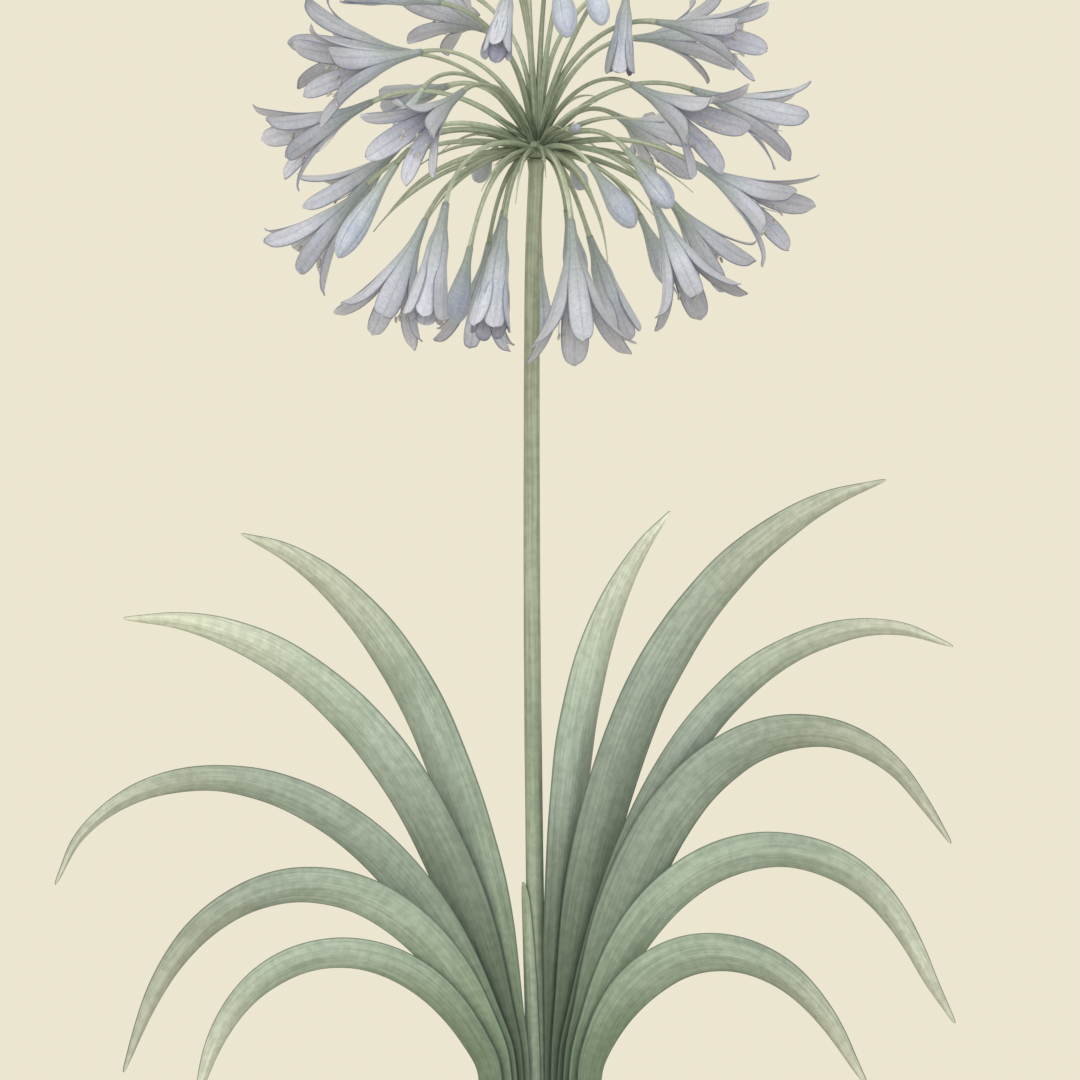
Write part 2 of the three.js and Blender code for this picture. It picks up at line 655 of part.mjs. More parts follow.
function blooms() {
  const random = seededRandom(53);
  const count = { floret: 0, bud: 0 };
  return BLOOMS.filter(([form]) => form !== 'bare').map((bloom) => {
    const [form, , , , , length] = bloom;
    const kind = form === 'bud' ? 'bud' : 'floret';
    count[kind] += 1;
    const { foot, axis } = bloomPlace(bloom);
    const spin = 2 * Math.PI * random();
    const geometry = kind === 'bud' ? bud(length) : floret(form, length, random);
    const mesh = piece(`${kind}_${String(count[kind]).padStart(2, '0')}`, geometry, COLOURS[kind], 0.6);
    mesh.position.copy(foot);
    mesh.quaternion.setFromUnitVectors(UP, axis);
    mesh.rotateZ(spin);
    return mesh;
  });
}

// ---------------------------------------------------------------------------------------------
// The plant
// ---------------------------------------------------------------------------------------------

const plant = new THREE.Group();
plant.add(piece('root_ball', rootBall(), COLOURS.soil, 0.95));
plant.add(piece('rhizome', crown(0), COLOURS.rhizome, 0.8));
LEFT_LEAVES.forEach((leaf, rank) => {
  plant.add(piece(`leaf_left_${rank + 1}`, leafBlade(-1, leaf), COLOURS.leaf, 0.55));
});
RIGHT_LEAVES.forEach((leaf, rank) => {
  plant.add(piece(`leaf_right_${rank + 1}`, leafBlade(1, leaf), COLOURS.leaf, 0.55));
});
plant.add(piece('sheath_leaf', sheathLeaf(), COLOURS.sheath, 0.55));
plant.add(piece('scape', scape(), COLOURS.scape, 0.55));
plant.add(piece('pedicels', stalks(), COLOURS.stalks, 0.6));
plant.add(...blooms());

export default plant;
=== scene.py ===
"""Looks of an agapanthus plant in flower, lifted with its root ball.

The plant's plain solids give every place and size. Each one is replaced by a finer piece that is
read from it: blades from their rings, blooms from their feet and lobe tips, stalks from the blooms.
Lengths in the code are millimetres unless a name or a Blender property says otherwise.
"""

import math
import random

import bpy
from bpy.props import FloatProperty, FloatVectorProperty, IntProperty, PointerProperty
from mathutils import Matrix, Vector, noise


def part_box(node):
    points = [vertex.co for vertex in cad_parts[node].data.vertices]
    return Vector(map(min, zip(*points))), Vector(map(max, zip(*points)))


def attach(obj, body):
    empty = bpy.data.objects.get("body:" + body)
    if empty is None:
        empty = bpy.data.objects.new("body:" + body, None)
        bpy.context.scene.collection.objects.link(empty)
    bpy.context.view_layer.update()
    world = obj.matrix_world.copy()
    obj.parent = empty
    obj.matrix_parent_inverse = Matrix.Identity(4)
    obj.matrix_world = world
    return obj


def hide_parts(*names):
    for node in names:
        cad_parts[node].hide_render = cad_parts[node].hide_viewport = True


bl_info = {
    "name": "Agapanthus plant",
    "version": (1, 0, 0),
    "blender": (4, 5, 0),
    "location": "View3D > Sidebar > Agapanthus",
    "description": "Leaves, scape, umbel and root ball of an agapanthus, built over its solids",
    "category": "Add Mesh",
}

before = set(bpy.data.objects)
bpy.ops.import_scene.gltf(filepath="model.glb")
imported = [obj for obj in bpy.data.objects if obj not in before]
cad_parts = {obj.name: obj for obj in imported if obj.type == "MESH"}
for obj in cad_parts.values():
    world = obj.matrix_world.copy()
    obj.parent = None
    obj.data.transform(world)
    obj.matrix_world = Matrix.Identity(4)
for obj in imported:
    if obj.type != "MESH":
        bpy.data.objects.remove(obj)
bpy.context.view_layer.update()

MM = 0.001
LEAF_NODES = sorted(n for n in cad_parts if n.startswith("leaf_"))
FLORET_NODES = sorted(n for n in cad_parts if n.startswith("floret_"))
BUD_NODES = sorted(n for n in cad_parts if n.startswith("bud_"))


# ---- Curves ----


def mean(points):
    return sum(points, Vector()) / len(points)


def clamp(x, low=0.0, high=1.0):
    return min(max(x, low), high)


def ease(x, start=0.0, end=1.0):
    """Smooth step of x from start to end."""
    s = clamp((x - start) / (end - start))
    return s * s * (3 - 2 * s)


def spline(values, share):
    """Value at a share, 0 to 1, of a smooth curve through evenly spaced numbers or points."""
    spans = len(values) - 1
    place = clamp(share) * spans
    k = min(int(place), spans - 1)
    t = place - k
    b, c = values[k], values[k + 1]
    a = values[k - 1] if k else b + (b - c)
    d = values[k + 2] if k + 2 <= spans else c + (c - b)
    return 0.5 * (
        2 * b + (c - a) * t + (2 * a - 5 * b + 4 * c - d) * t**2 + (3 * b - a - 3 * c + d) * t**3
    )


def bezier(a, b, c, d, t):
    s = 1 - t
    return a * s**3 + b * (3 * s * s * t) + c * (3 * s * t * t) + d * t**3


def direction(azimuth, elevation):
    """Unit vector at an azimuth and an elevation in radians."""
    level = math.cos(elevation)
    return Vector((level * math.cos(azimuth), level * math.sin(azimuth), math.sin(elevation)))


def swing(first, second, angle):
    """The first of two directions at right angles, turned towards the second."""
    return first * math.cos(angle) + second * math.sin(angle)


def turn_between(start, end):
    """Signed angle from one direction round a circle to another, half a turn at most."""
    return (end - start + math.pi) % (2 * math.pi) - math.pi


def shares(steps):
    """Evenly spaced shares from 0 to 1."""
    return [k / steps for k in range(steps + 1)]


def full_turn(sides):
    """Angles of evenly spaced places round a circle."""
    return [2 * math.pi * i / sides for i in range(sides)]


def both_faces(columns):
    """Face of a sheet, 1 or -1, and place across it, -1 to 1, for each point of a ring round it."""
    return [(side, side * (2 * i / columns - 1)) for side in (1, -1) for i in range(columns + 1)]


# ---- Reading the solids ----

CLEARANCE = 0.3  # between solids that touch on the living plant
FOOT_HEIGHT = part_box("rhizome")[1].z / MM + CLEARANCE
FOOT_REACH = 50  # of the blades' feet, from the plant's axis
RING_SLACK = 0.12  # by which the corners of a foot may lie above or below it


def solid_points(node_name):
    """Distinct corners of a solid, and for each the set of corners that it shares an edge with."""
    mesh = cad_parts[node_name].data
    index = {}
    for vertex in mesh.vertices:
        index.setdefault(tuple(vertex.co), len(index))
    joined = [set() for _ in index]
    for edge in mesh.edges:
        a, b = (index[tuple(mesh.vertices[i].co)] for i in edge.vertices)
        if a != b:
            joined[a].add(b)
            joined[b].add(a)
    return [Vector(co) / MM for co in index], joined


def ring_layers(node_name):
    """Rings of a solid that stands on the rhizome, from its foot outwards."""
    points, joined = solid_points(node_name)
    layer = {
        i for i, p in enumerate(points)
        if abs(p.z - FOOT_HEIGHT) < RING_SLACK and math.hypot(p.x, p.y) < FOOT_REACH
    }
    seen = set(layer)
    layers = []
    while layer:
        layers.append([points[i] for i in sorted(layer)])
        layer = {j for i in layer for j in joined[i]} - seen
        seen |= layer
    return layers


SCAPE_RINGS = ring_layers("scape")
SCAPE_AXIS = [mean(ring) for ring in SCAPE_RINGS]
SCAPE_RADII = [(ring[0] - centre).length for ring, centre in zip(SCAPE_RINGS, SCAPE_AXIS)]
KNOB_HALF_HEIGHT = 4.5
HUB = SCAPE_AXIS[-1] + Vector((0, 0, CLEARANCE + KNOB_HALF_HEIGHT))


# ---- Meshes ----


class Skin:
    """A mesh in the making, with a flat map in millimetres and three numbers at each point.

    along runs from 0 at the foot to 1 at the tip, edge from 0 at the midline to 1 at the margin,
    and tone is the piece's own shade, from -1 for darker to 1 for paler. On the blades it is
    painted shade and light as well, and on the bracts painted shade.
    """

    def __init__(self, tone=0.0):
        self.tone = tone
        self.points = []  # place, along, edge, flat map and tone of each
        self.faces = []  # corners of each, and the number of its finish
        self.carried = {}  # how far the map of the last face of a closed row is carried on

    def point(self, place, along, edge, flat):
        self.points.append((place, along, edge, flat, self.tone))
        return len(self.points) - 1

    def face(self, corners, finish=0):
        self.faces.append((tuple(corners), finish))

    def strips(self, rows, closed=True, finish=0, girth=0.0):
        """Joins rows of points by quads. A closed row's last quad has its map carried on by girth."""
        for low, high in zip(rows, rows[1:]):
            count = len(low)
            for i in range(count if closed else count - 1):
                j = (i + 1) % count
                if girth and j == 0:
                    self.carried[len(self.faces)] = girth
                self.face((low[i], low[j], high[j], high[i]), finish)

    def round_body(self, rows, middles=(None, None), along=(0.0, 1.0), finish=0, girth=0.0):
        """Joins rings into a body, whose ends close about given middles or about the rings' own."""
        self.strips(rows, finish=finish, girth=girth)
        for row, middle, share, order in zip((rows[0], rows[-1]), middles, along, (-1, 1)):
            if middle is None:
                middle = mean([self.points[i][0] for i in row])
            hub = self.point(middle, share, 0.0, self.points[row[0]][3])
            for i, j in zip(row, row[1:] + row[:1]):
                self.face((i, j, hub)[::order], finish)

    def flat_body(self, rows, finish=0):
        """Joins rings that run across one face and back on the other into a closed sheet."""
        self.strips(rows, finish=finish)
        for row, order in ((rows[0], -1), (rows[-1], 1)):
            for i in range(len(row) // 2 - 1):
                self.face((row[i], row[i + 1], row[-i - 2], row[-i - 1])[::order], finish)

    def tube(self, centres, radii, sides, finish=0, ribs=0, rib_depth=0.0, start=0.0):
        """Round closed rod along centres, with an optional number of shallow lengthwise ribs."""
        normal = (centres[1] - centres[0]).orthogonal().normalized()
        spans = [(b - a).length for a, b in zip(centres, centres[1:])]
        total = sum(spans)
        rows = []
        for k, centre in enumerate(centres):
            ahead = centres[min(k + 1, len(spans))] - centres[max(k - 1, 0)]
            tangent = ahead.normalized()
            normal = (normal - tangent * normal.dot(tangent)).normalized()
            binormal = tangent.cross(normal)
            length = sum(spans[:k])
            row = []
            for angle in full_turn(sides):
                radius = radii[k] * (1 + rib_depth * math.cos(ribs * angle))
                spot = centre + swing(normal, binormal, angle) * radius
                flat = (start + radii[0] * angle, start + length)
                row.append(self.point(spot, length / total, 0.0, flat))
            rows.append(row)
        ends = (centres[0], centres[-1])
        self.round_body(rows, ends, finish=finish, girth=2 * math.pi * radii[0])

    def thicken(self, thickness):
        """Turns the open sheet made so far into a closed shell of this thickness."""
        count = len(self.points)
        normals = [Vector() for _ in range(count)]
        sides = {}  # of all faces, in their order
        for corners, _ in self.faces:
            a, b, c = (self.points[i][0] for i in corners[:3])
            across = (self.points[corners[-1]][0] - b).cross(c - a) * -1
            for i, j in zip(corners, corners[1:] + corners[:1]):
                normals[i] += across
                sides[(i, j)] = True
        for i in range(count):
            place, *rest, tone = self.points[i]
            shift = normals[i].normalized() * (thickness / 2)
            self.point(place - shift, *rest)
            self.points[i] = (place + shift, *rest, tone)
        for corners, finish in list(self.faces):
            self.face([i + count for i in reversed(corners)], finish)
        for i, j in sides:
            if (j, i) not in sides:
                self.face((j, i, i + count, j + count))

    def merge(self, distance):
        """Joins points that lie within a distance, keeping the first of each."""
        keep = {}
        index = []
        for i, (place, *_) in enumerate(self.points):
            key = tuple(round(c / distance) for c in place)
            index.append(keep.setdefault(key, i))
        used = sorted(set(index))
        new = {old: number for number, old in enumerate(used)}
        self.points = [self.points[i] for i in used]
        faces = []
        for corners, finish in self.faces:
            kept = [new[index[i]] for i in corners]
            kept = tuple(c for c, before in zip(kept, kept[-1:] + kept[:-1]) if c != before)
            if len(kept) > 2:
                faces.append((kept, finish))
        self.faces = faces

    def piece(self, name, finishes, slot, *nodes):
        """Makes the object with its finishes, and hides the solids that it stands for."""
        places, along, edge, flat, tone = zip(*self.points)
        corners, numbers = zip(*self.faces)
        mesh = bpy.data.meshes.new(name)
        mesh.from_pydata([p * MM for p in places], [], corners)
        mesh.polygons.foreach_set("use_smooth", [True] * len(corners))
        mesh.polygons.foreach_set("material_index", numbers)
        for label, values in (("along", along), ("edge", edge), ("tone", tone)):
            mesh.attributes.new(label, "FLOAT", "POINT").data.foreach_set("value", values)
        surface = mesh.uv_layers.new(name="surface")
        for number, polygon in enumerate(mesh.polygons):
            girth = self.carried.get(number, 0.0)
            for place, loop in enumerate(polygon.loop_indices):
                x, y = flat[mesh.loops[loop].vertex_index]
                surface.data[loop].uv = (x + (girth if place in (1, 2) else 0.0), y)
        for finish in finishes:
            mesh.materials.append(finish)
        mesh.validate()
        thing = bpy.data.objects.new(name, mesh)
        bpy.context.scene.collection.objects.link(thing)
        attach(thing, "root")
        if nodes:
            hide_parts(*nodes)


# ---- Finishes ----


def linear(colour):
    """Linear RGB of an sRGB hex colour."""
    parts = [int(colour[i : i + 2], 16) / 255 for i in (1, 3, 5)]
    return tuple(p / 12.92 if p <= 0.04045 else ((p + 0.055) / 1.055) ** 2.4 for p in parts)


def opaque(colour):
    """RGBA of a hex colour, or of a setting that is linear already."""
    return (*(linear(colour) if isinstance(colour, str) else colour), 1.0)


def node(tree, kind, inputs=None, **settings):
    """Adds a node with its settings, and sets or links its inputs."""
    made = tree.nodes.new(kind)
    for key, value in settings.items():
        setattr(made, key, value)
    for key, value in (inputs or {}).items():
        if isinstance(value, bpy.types.NodeSocket):
            tree.links.new(value, made.inputs[key])
        else:
            made.inputs[key].default_value = value
    return made


def bare_finish(name, **constants):
    """A material with its shader alone, whose constants stand on the shader's own sockets."""
    material = bpy.data.materials.new(name)
    material.use_nodes = True
    tree = material.node_tree
    tree.nodes.clear()
    shader = node(tree, "ShaderNodeBsdfPrincipled")
    for key, value in constants.items():
        shader.inputs[key.replace("_", " ")].default_value = value
    node(tree, "ShaderNodeOutputMaterial", {"Surface": shader.outputs[0]})
    return material, tree, shader


def dress(tree, shader, colour, layers, curve, shades, height, strength, relief):
    """Lays tints over a colour, shades it by the piece's tone, and raises a pattern by a relief.

    Each layer is what drives it, from where to where, its share at each, its tint and its blend;
    shades are the values at the darkest and the palest tone; relief is in millimetres.
    """
    for driver, low, high, at_low, at_high, tint, blend in layers:
        span = {0: driver, 1: low, 2: high, 3: at_low, 4: at_high}
        share = node(tree, "ShaderNodeMapRange", span, interpolation_type=curve).outputs[0]
        pair = {0: share, 6: colour, 7: tint}
        colour = node(tree, "ShaderNodeMix", pair, data_type="RGBA", blend_type=blend).outputs[2]
    tone = node(tree, "ShaderNodeAttribute", attribute_name="tone").outputs["Fac"]
    span = {0: tone, 1: -1.0, 2: 1.0, 3: shades[0], 4: shades[1]}
    shade = node(tree, "ShaderNodeMapRange", span, interpolation_type=curve).outputs[0]
    shaded = node(tree, "ShaderNodeHueSaturation", {"Value": shade, "Color": colour})
    raised = {"Height": height, "Strength": strength, "Distance": relief * MM}
    tree.links.new(shaded.outputs[0], shader.inputs["Base Color"])
    tree.links.new(node(tree, "ShaderNodeBump", raised).outputs[0], shader.inputs["Normal"])


FIBRE_STRETCH = 40  # length of a fibre over its breadth
MOTTLES_PER_WASH = 7  # mottles are this many times as fine as washes


def plant_skin(name, tints, fibre, wash, margin, relief, lines=(), streak=0.22, **constants):
    """Skin of a living part: soft washes, lengthwise fibres, a dark outline and a few long lines.

    tints are those of foot, body, tip, wash and margin; fibre and wash are sizes in millimetres;
    margin is the share of the half width where the outline starts; relief is the height of the
    fibres; lines are (share of the half width, breadth, strength) of darker lengthwise lines.
    """
    material, tree, shader = bare_finish(name, Specular_IOR_Level=0.35, **constants)
    foot, body, tip, washed, dark = (opaque(tint) for tint in tints)
    place = node(tree, "ShaderNodeTexCoord").outputs["Object"]
    along, edge = (
        node(tree, "ShaderNodeAttribute", attribute_name=label).outputs["Fac"]
        for label in ("along", "edge")
    )
    flat = node(tree, "ShaderNodeUVMap", uv_map="surface").outputs[0]
    squeeze = {"Vector": flat, "Scale": (1.0, 1 / FIBRE_STRETCH, 1.0)}
    grain = node(tree, "ShaderNodeMapping", squeeze).outputs[0]
    broad, mottle, threads = (
        node(
            tree, "ShaderNodeTexNoise",
            {"Vector": vector, "Scale": 1 / size, "Detail": detail, "Roughness": 0.55},
        ).outputs["Fac"]
        for vector, size, detail in (
            (place, wash * MM, 3.0), (place, wash * MM / MOTTLES_PER_WASH, 4.0), (grain, fibre, 4.0),
        )
    )
    layers = [
        # washes of a second tint, as blotches of bloom on a living surface
        (broad, 0.42, 0.66, 0.0, 0.75, washed, "MIX"),
        (along, 0.08, 0.6, 1.0, 0.0, foot, "MIX"),
        (along, 0.55, 1.0, 0.0, 1.0, tip, "MIX"),
        (threads, 0.36, 0.64, streak, 0.0, dark, "MULTIPLY"),
        # mottles a few millimetres across, where the surface thins or gathers its tint
        (mottle, 0.40, 0.62, 0.0, 0.16, dark, "MULTIPLY"),
        (edge, 0.55, 1.0, 0.0, 0.16, dark, "MIX"),
        (edge, margin, 1.0, 0.0, 0.78, dark, "MIX"),
    ]
    for middle, breadth, strength in lines:
        off = node(tree, "ShaderNodeMath", {0: edge, 1: middle}, operation="SUBTRACT").outputs[0]
        away = node(tree, "ShaderNodeMath", {0: off}, operation="ABSOLUTE").outputs[0]
        layers.append((away, 0.0, breadth, strength, 0.0, dark, "MIX"))
    dress(tree, shader, body, layers, "SMOOTHSTEP", (0.64, 1.38), threads, 0.5, relief)
    return material


def earth(name, tints, grain, relief, roughness):
    """Crumbly or corky matter: dark, pale and fleck tints, with grains of a size in millimetres."""
    material, tree, shader = bare_finish(name, Roughness=roughness, Specular_IOR_Level=0.2)
    place = node(tree, "ShaderNodeTexCoord").outputs["Object"]
    dark, pale, fleck = (opaque(tint) for tint in tints)
    # clods are six grains across
    clods, grains = (
        node(
            tree, "ShaderNodeTexNoise",
            {"Vector": place, "Scale": 1 / (size * MM), "Detail": detail, "Roughness": rough},
        ).outputs["Fac"]
        for size, detail, rough in ((grain * 6, 5.0, 0.65), (grain, 3.0, 0.6))
    )
    layers = (
        (clods, 0.38, 0.62, 0.0, 1.0, pale, "MIX"),
        (grains, 0.6, 0.72, 0.0, 0.7, fleck, "MIX"),
    )
    dress(tree, shader, dark, layers, "LINEAR", (0.75, 1.25), grains, 0.8, relief)
    return material


# ---- Settings ----


def size_setting(name, description, default, least=0.0):
    """A length, with its default and its least value in millimetres."""
    return FloatProperty(
        name=name, description=description, default=default * MM, unit="LENGTH", min=least * MM
    )


def colour_setting(name, description, default):
    return FloatVectorProperty(
        name=name, description=description, default=linear(default),
        subtype="COLOR", size=3, min=0.0, max=1.0,
    )


class RootSettings(bpy.types.PropertyGroup):
    soil: colour_setting("Soil", "Colour of the paler clods", "#75604a")
    root: colour_setting("Roots", "Colour of the fleshy roots", "#c9ba96")
    radius: size_setting("Root radius", "Radius of a fleshy root at its head", 3.3, 0.5)


class LeafSettings(bpy.types.PropertyGroup):
    blade: colour_setting("Blade", "Colour of the blades between foot and tip", "#a1b2a8")
    rows: IntProperty(name="Rows", description="Rows of faces along a blade", default=128, min=32)
    columns: IntProperty(name="Columns", description="Faces across a side of a blade", default=20, min=8)
    ripple: size_setting("Ripple", "Rise and fall of a blade's margins", 1.1)
    waver: size_setting("Waver", "How far a blade's outline strays from its smooth curve", 0.45)
    tip: size_setting("Tip", "Length of the fine point beyond the solid's blunt end", 3.5)


class ScapeSettings(bpy.types.PropertyGroup):
    stem: colour_setting("Scape", "Colour of the flower stem", "#95a08f")
    sheath: colour_setting("Sheath leaf", "Colour of the sheath leaf", "#8f9f90")
    ribs: IntProperty(name="Ribs", description="Number of the flower stem's ribs", default=11, min=0)
    wall: size_setting("Sheath wall", "Thickness of the sheath leaf at its keel", 0.9, 0.1)


class FlowerSettings(bpy.types.PropertyGroup):
    petal: colour_setting("Petals", "Colour of the florets' lobes", "#bbc2d4")
    bud: colour_setting("Buds", "Colour of the closed buds", "#a3acc1")
    stalk: colour_setting("Stalks", "Colour of the stalks between foot and bloom", "#afbaa6")
    rows: IntProperty(name="Rows", description="Rows of faces along a lobe", default=34, min=12)
    columns: IntProperty(name="Columns", description="Faces across a lobe", default=12, min=6)
    thickness: size_setting("Thickness", "Thickness of a lobe", 0.5)
    ripple: size_setting("Ripple", "Rise and fall of a lobe's margins", 0.7)
    filament: size_setting("Filament", "Radius of a stamen's filament", 0.3)


class StageSettings(bpy.types.PropertyGroup):
    floor: colour_setting("Floor", "Colour of the floor", "#dcd8cc")
    backdrop: colour_setting("Backdrop", "Colour of the surroundings", "#ece6d1")
    floor_radius: size_setting("Floor radius", "Radius of the floor disc", 1250, 200)
    view_height: size_setting("View height", "Height of the plant that the camera takes in", 486, 100)
    view_centre: size_setting("View centre", "Height above the floor of the middle of the view", 344)
    lens: FloatProperty(
        name="Lens", description="Focal length of the camera", default=250.0, unit="CAMERA", min=35.0,
    )
    key_power: FloatProperty(
        name="Key power", description="Power of the large light at the front left",
        default=39.0, unit="POWER", min=0.0,
    )


# ---- Root ball and rhizome ----

# Radius and height of each ring of the ball of soil, and the numbers that its roots are laid by
BALL_PROFILE = ((56, 0), (65, 9), (71, 27), (72, 46), (68, 64), (58, 78), (40, 86), (20, 89))
ROOT_SEED = 29
ROOT_COUNT = 16
ROOT_HEIGHTS = (82, 70, 52, 34, 18, 11)
ROOT_HEAD_SHARE = 0.72
ROOT_HEAD_HEIGHT = 76
ROOT_SINK = 1.2
ROOT_DRIFT = 0.32
ROOT_KNOT, ROOT_TAPER = 0.09, 0.4  # shares of the radius
SIDE_ROOTS = 3  # on each fleshy root
SIDE_ROOT_LENGTHS = (12, 24)
SIDE_ROOT_RADIUS, SIDE_ROOT_TAPER = 0.75, 0.75
SIDE_ROOT_WAVE, SIDE_ROOT_DROP = 1.2, 0.5  # the drop is a share of the length
SIDE_ROOT_RISE, SIDE_ROOT_SINK = 0.6, 1.5  # out of the soil at its start, into it at its end
FACE_SIZE = 1.5  # of the soil's faces
FIRM_FOOT = 1.5  # height up to which the soil's foot stays flat
CLOD_SIZE, CLOD_HEIGHT = 11, 1.6
CRUMB_SIZE, CRUMB_HEIGHT = 3.4, 0.75
PIT_SIZE, PIT_DEPTH = 6.5, 1.3
# Side of the rhizome, as (share of the full oval, share of the height)
CROWN_OUTLINE = [Vector(p) for p in ((0.7, 0), (0.95, 0.4), (1, 0.64), (1, 0.86), (0.94, 1))]
CROWN_INSET = 0.9
CROWN_LUMP = 0.7
LEAF_SCAR = 0.55  # height of the rings of leaf scars
OLD_BASES = 8  # torn bases of old leaves
OLD_BASE_REACH, OLD_BASE_STEP = 27.2, 0.9  # of the innermost pair from the middle, and of the next
OLD_BASE_SINK = 0.6  # into the rhizome
OLD_BASE_HEIGHTS, OLD_BASE_BREADTHS, OLD_BASE_LEANS = (2.8, 4.3), (5, 8), (0.1, 0.35)
OLD_BASE_BOW, OLD_BASE_HALF_WALL = 1.6, 0.35
OLD_BASE_TEAR = 0.35  # share of the height


def build_root_ball(soil):
    """The ball of soil: the solid's own form, broken up into crumbs and clods."""
    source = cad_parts["root_ball"]
    thing = bpy.data.objects.new("root_ball_soil", source.data.copy())
    bpy.context.scene.collection.objects.link(thing)
    remesh = thing.modifiers.new("even_faces", "REMESH")
    remesh.mode = "VOXEL"
    remesh.voxel_size = FACE_SIZE * MM
    graph = bpy.context.evaluated_depsgraph_get()
    mesh = bpy.data.meshes.new_from_object(thing.evaluated_get(graph))
    thing.modifiers.clear()
    thing.data = mesh
    for vertex, normal in zip(mesh.vertices, [v.normal.copy() for v in mesh.vertices]):
        p = vertex.co / MM
        clods = noise.noise(p / CLOD_SIZE) * CLOD_HEIGHT
        crumbs = noise.fractal(p / CRUMB_SIZE, 0.6, 2.0, 3) * CRUMB_HEIGHT
        pits = -PIT_DEPTH * clamp((noise.noise(p / PIT_SIZE + Vector((9, 4, 2))) - 0.28) * 4)
        free = ease(p.z, FIRM_FOOT, FIRM_FOOT + 6)
        vertex.co += normal * ((clods + crumbs + pits) * free * MM)
        vertex.co.z = max(vertex.co.z, 0.0)
    mesh.materials.clear()
    mesh.materials.append(soil)
    mesh.polygons.foreach_set("use_smooth", [True] * len(mesh.polygons))
    mesh.attributes.new("tone", "FLOAT", "POINT").data.foreach_set(
        "value", [noise.noise(v.co / (18 * MM)) for v in mesh.vertices]
    )
    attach(thing, "root")
    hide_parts("root_ball")


def root_lines():
    """Centre lines of the fleshy roots on the outside of the ball."""
    state = ROOT_SEED
    lines = []

    def draw():
        nonlocal state
        state = state * 16807 % 2147483647
        return state / 2147483647

    for i in range(ROOT_COUNT):
        azimuth = 2 * math.pi * (i + draw() / 2) / ROOT_COUNT
        drift = ROOT_DRIFT * (draw() - 0.5)
        line = []
        for height in ROOT_HEIGHTS:
            azimuth += drift + ROOT_DRIFT / 2 * (draw() - 0.5)
            above = next(k for k, (_, z) in enumerate(BALL_PROFILE) if z > height)
            (r0, z0), (r1, z1) = BALL_PROFILE[above - 1 : above + 1]
            radius = r0 + (r1 - r0) * (height - z0) / (z1 - z0) - ROOT_SINK * draw()
            line.append(Vector((radius * math.cos(azimuth), radius * math.sin(azimuth), height)))
        head = line[0] * ROOT_HEAD_SHARE
        head.z = ROOT_HEAD_HEIGHT
        lines.append([head] + line + [line[-1] * 0.9])
    return lines


def side_root(start, rng, number):
    """Centre line of a fine root that leaves a fleshy one and stays on the ball's outside."""
    out = Vector((start.x, start.y, 0)).normalized()
    around = Vector((-out.y, out.x, 0)) * rng.choice((-1, 1))
    length = rng.uniform(*SIDE_ROOT_LENGTHS)
    line = []
    for t in shares(8):
        wave = SIDE_ROOT_WAVE * math.sin(5 * t + number)
        drop = SIDE_ROOT_DROP * length * t * t
        spot = start + around * (length * t) + Vector((0, 0, wave - drop))
        level = math.hypot(spot.x, spot.y)
        ball = math.hypot(start.x, start.y) + SIDE_ROOT_RISE - SIDE_ROOT_SINK * t
        line.append(Vector((spot.x * ball / level, spot.y * ball / level, max(spot.z, 2.0))))
    return line


def build_roots(radius, skin_finish):
    """Thick pale roots that run down the ball, half sunk in the soil, and their fine side roots."""
    skin = Skin()
    rng = random.Random(31)
    steps = 60
    for number, line in enumerate(root_lines()):
        skin.tone = rng.uniform(-0.7, 0.5)
        centres = [spline(line, t) for t in shares(steps)]
        radii = []
        for t in shares(steps):
            knot = 1 + ROOT_KNOT * noise.noise(Vector((12 * t, number, 1.5)))
            radii.append(radius * (1 - ROOT_TAPER * t) * knot)
        skin.tube(centres, radii, 14, start=50 * number)
        for _ in range(SIDE_ROOTS):
            wisp = side_root(centres[rng.randrange(10, steps - 8)], rng, number)
            skin.tube(wisp, [SIDE_ROOT_RADIUS * (1 - SIDE_ROOT_TAPER * t) for t in shares(8)], 7)
    skin.piece("root_ball_roots", [skin_finish], "soil", "root_ball")


def add_old_base(skin, rng, number, top, finish):
    """The torn base of a withered leaf, standing at one end of the rhizome's top."""
    side = 1 if number % 2 else -1
    reach = OLD_BASE_REACH + OLD_BASE_STEP * (number // 2)
    start = Vector((side * reach, rng.uniform(-5, 5), top - OLD_BASE_SINK))
    tall = rng.uniform(*OLD_BASE_HEIGHTS)
    breadth = rng.uniform(*OLD_BASE_BREADTHS)
    lean = side * rng.uniform(*OLD_BASE_LEANS)
    rows = []
    for t in shares(6):
        ring = []
        for face, u in both_faces(8):
            torn = tall * (1 + OLD_BASE_TEAR * noise.noise(Vector((u * 2.2, number, 3.1))))
            bow = side * OLD_BASE_BOW * (1 - u * u)
            half_wall = face * side * OLD_BASE_HALF_WALL * (1 - 0.6 * t)
            x = start.x + lean * tall * t + bow + half_wall
            spot = Vector((x, start.y + u * breadth * (1 - 0.25 * t), start.z + torn * t))
            ring.append(skin.point(spot, t, abs(u), (u * breadth, torn * t)))
        rows.append(ring[::side])
    skin.flat_body(rows, finish)


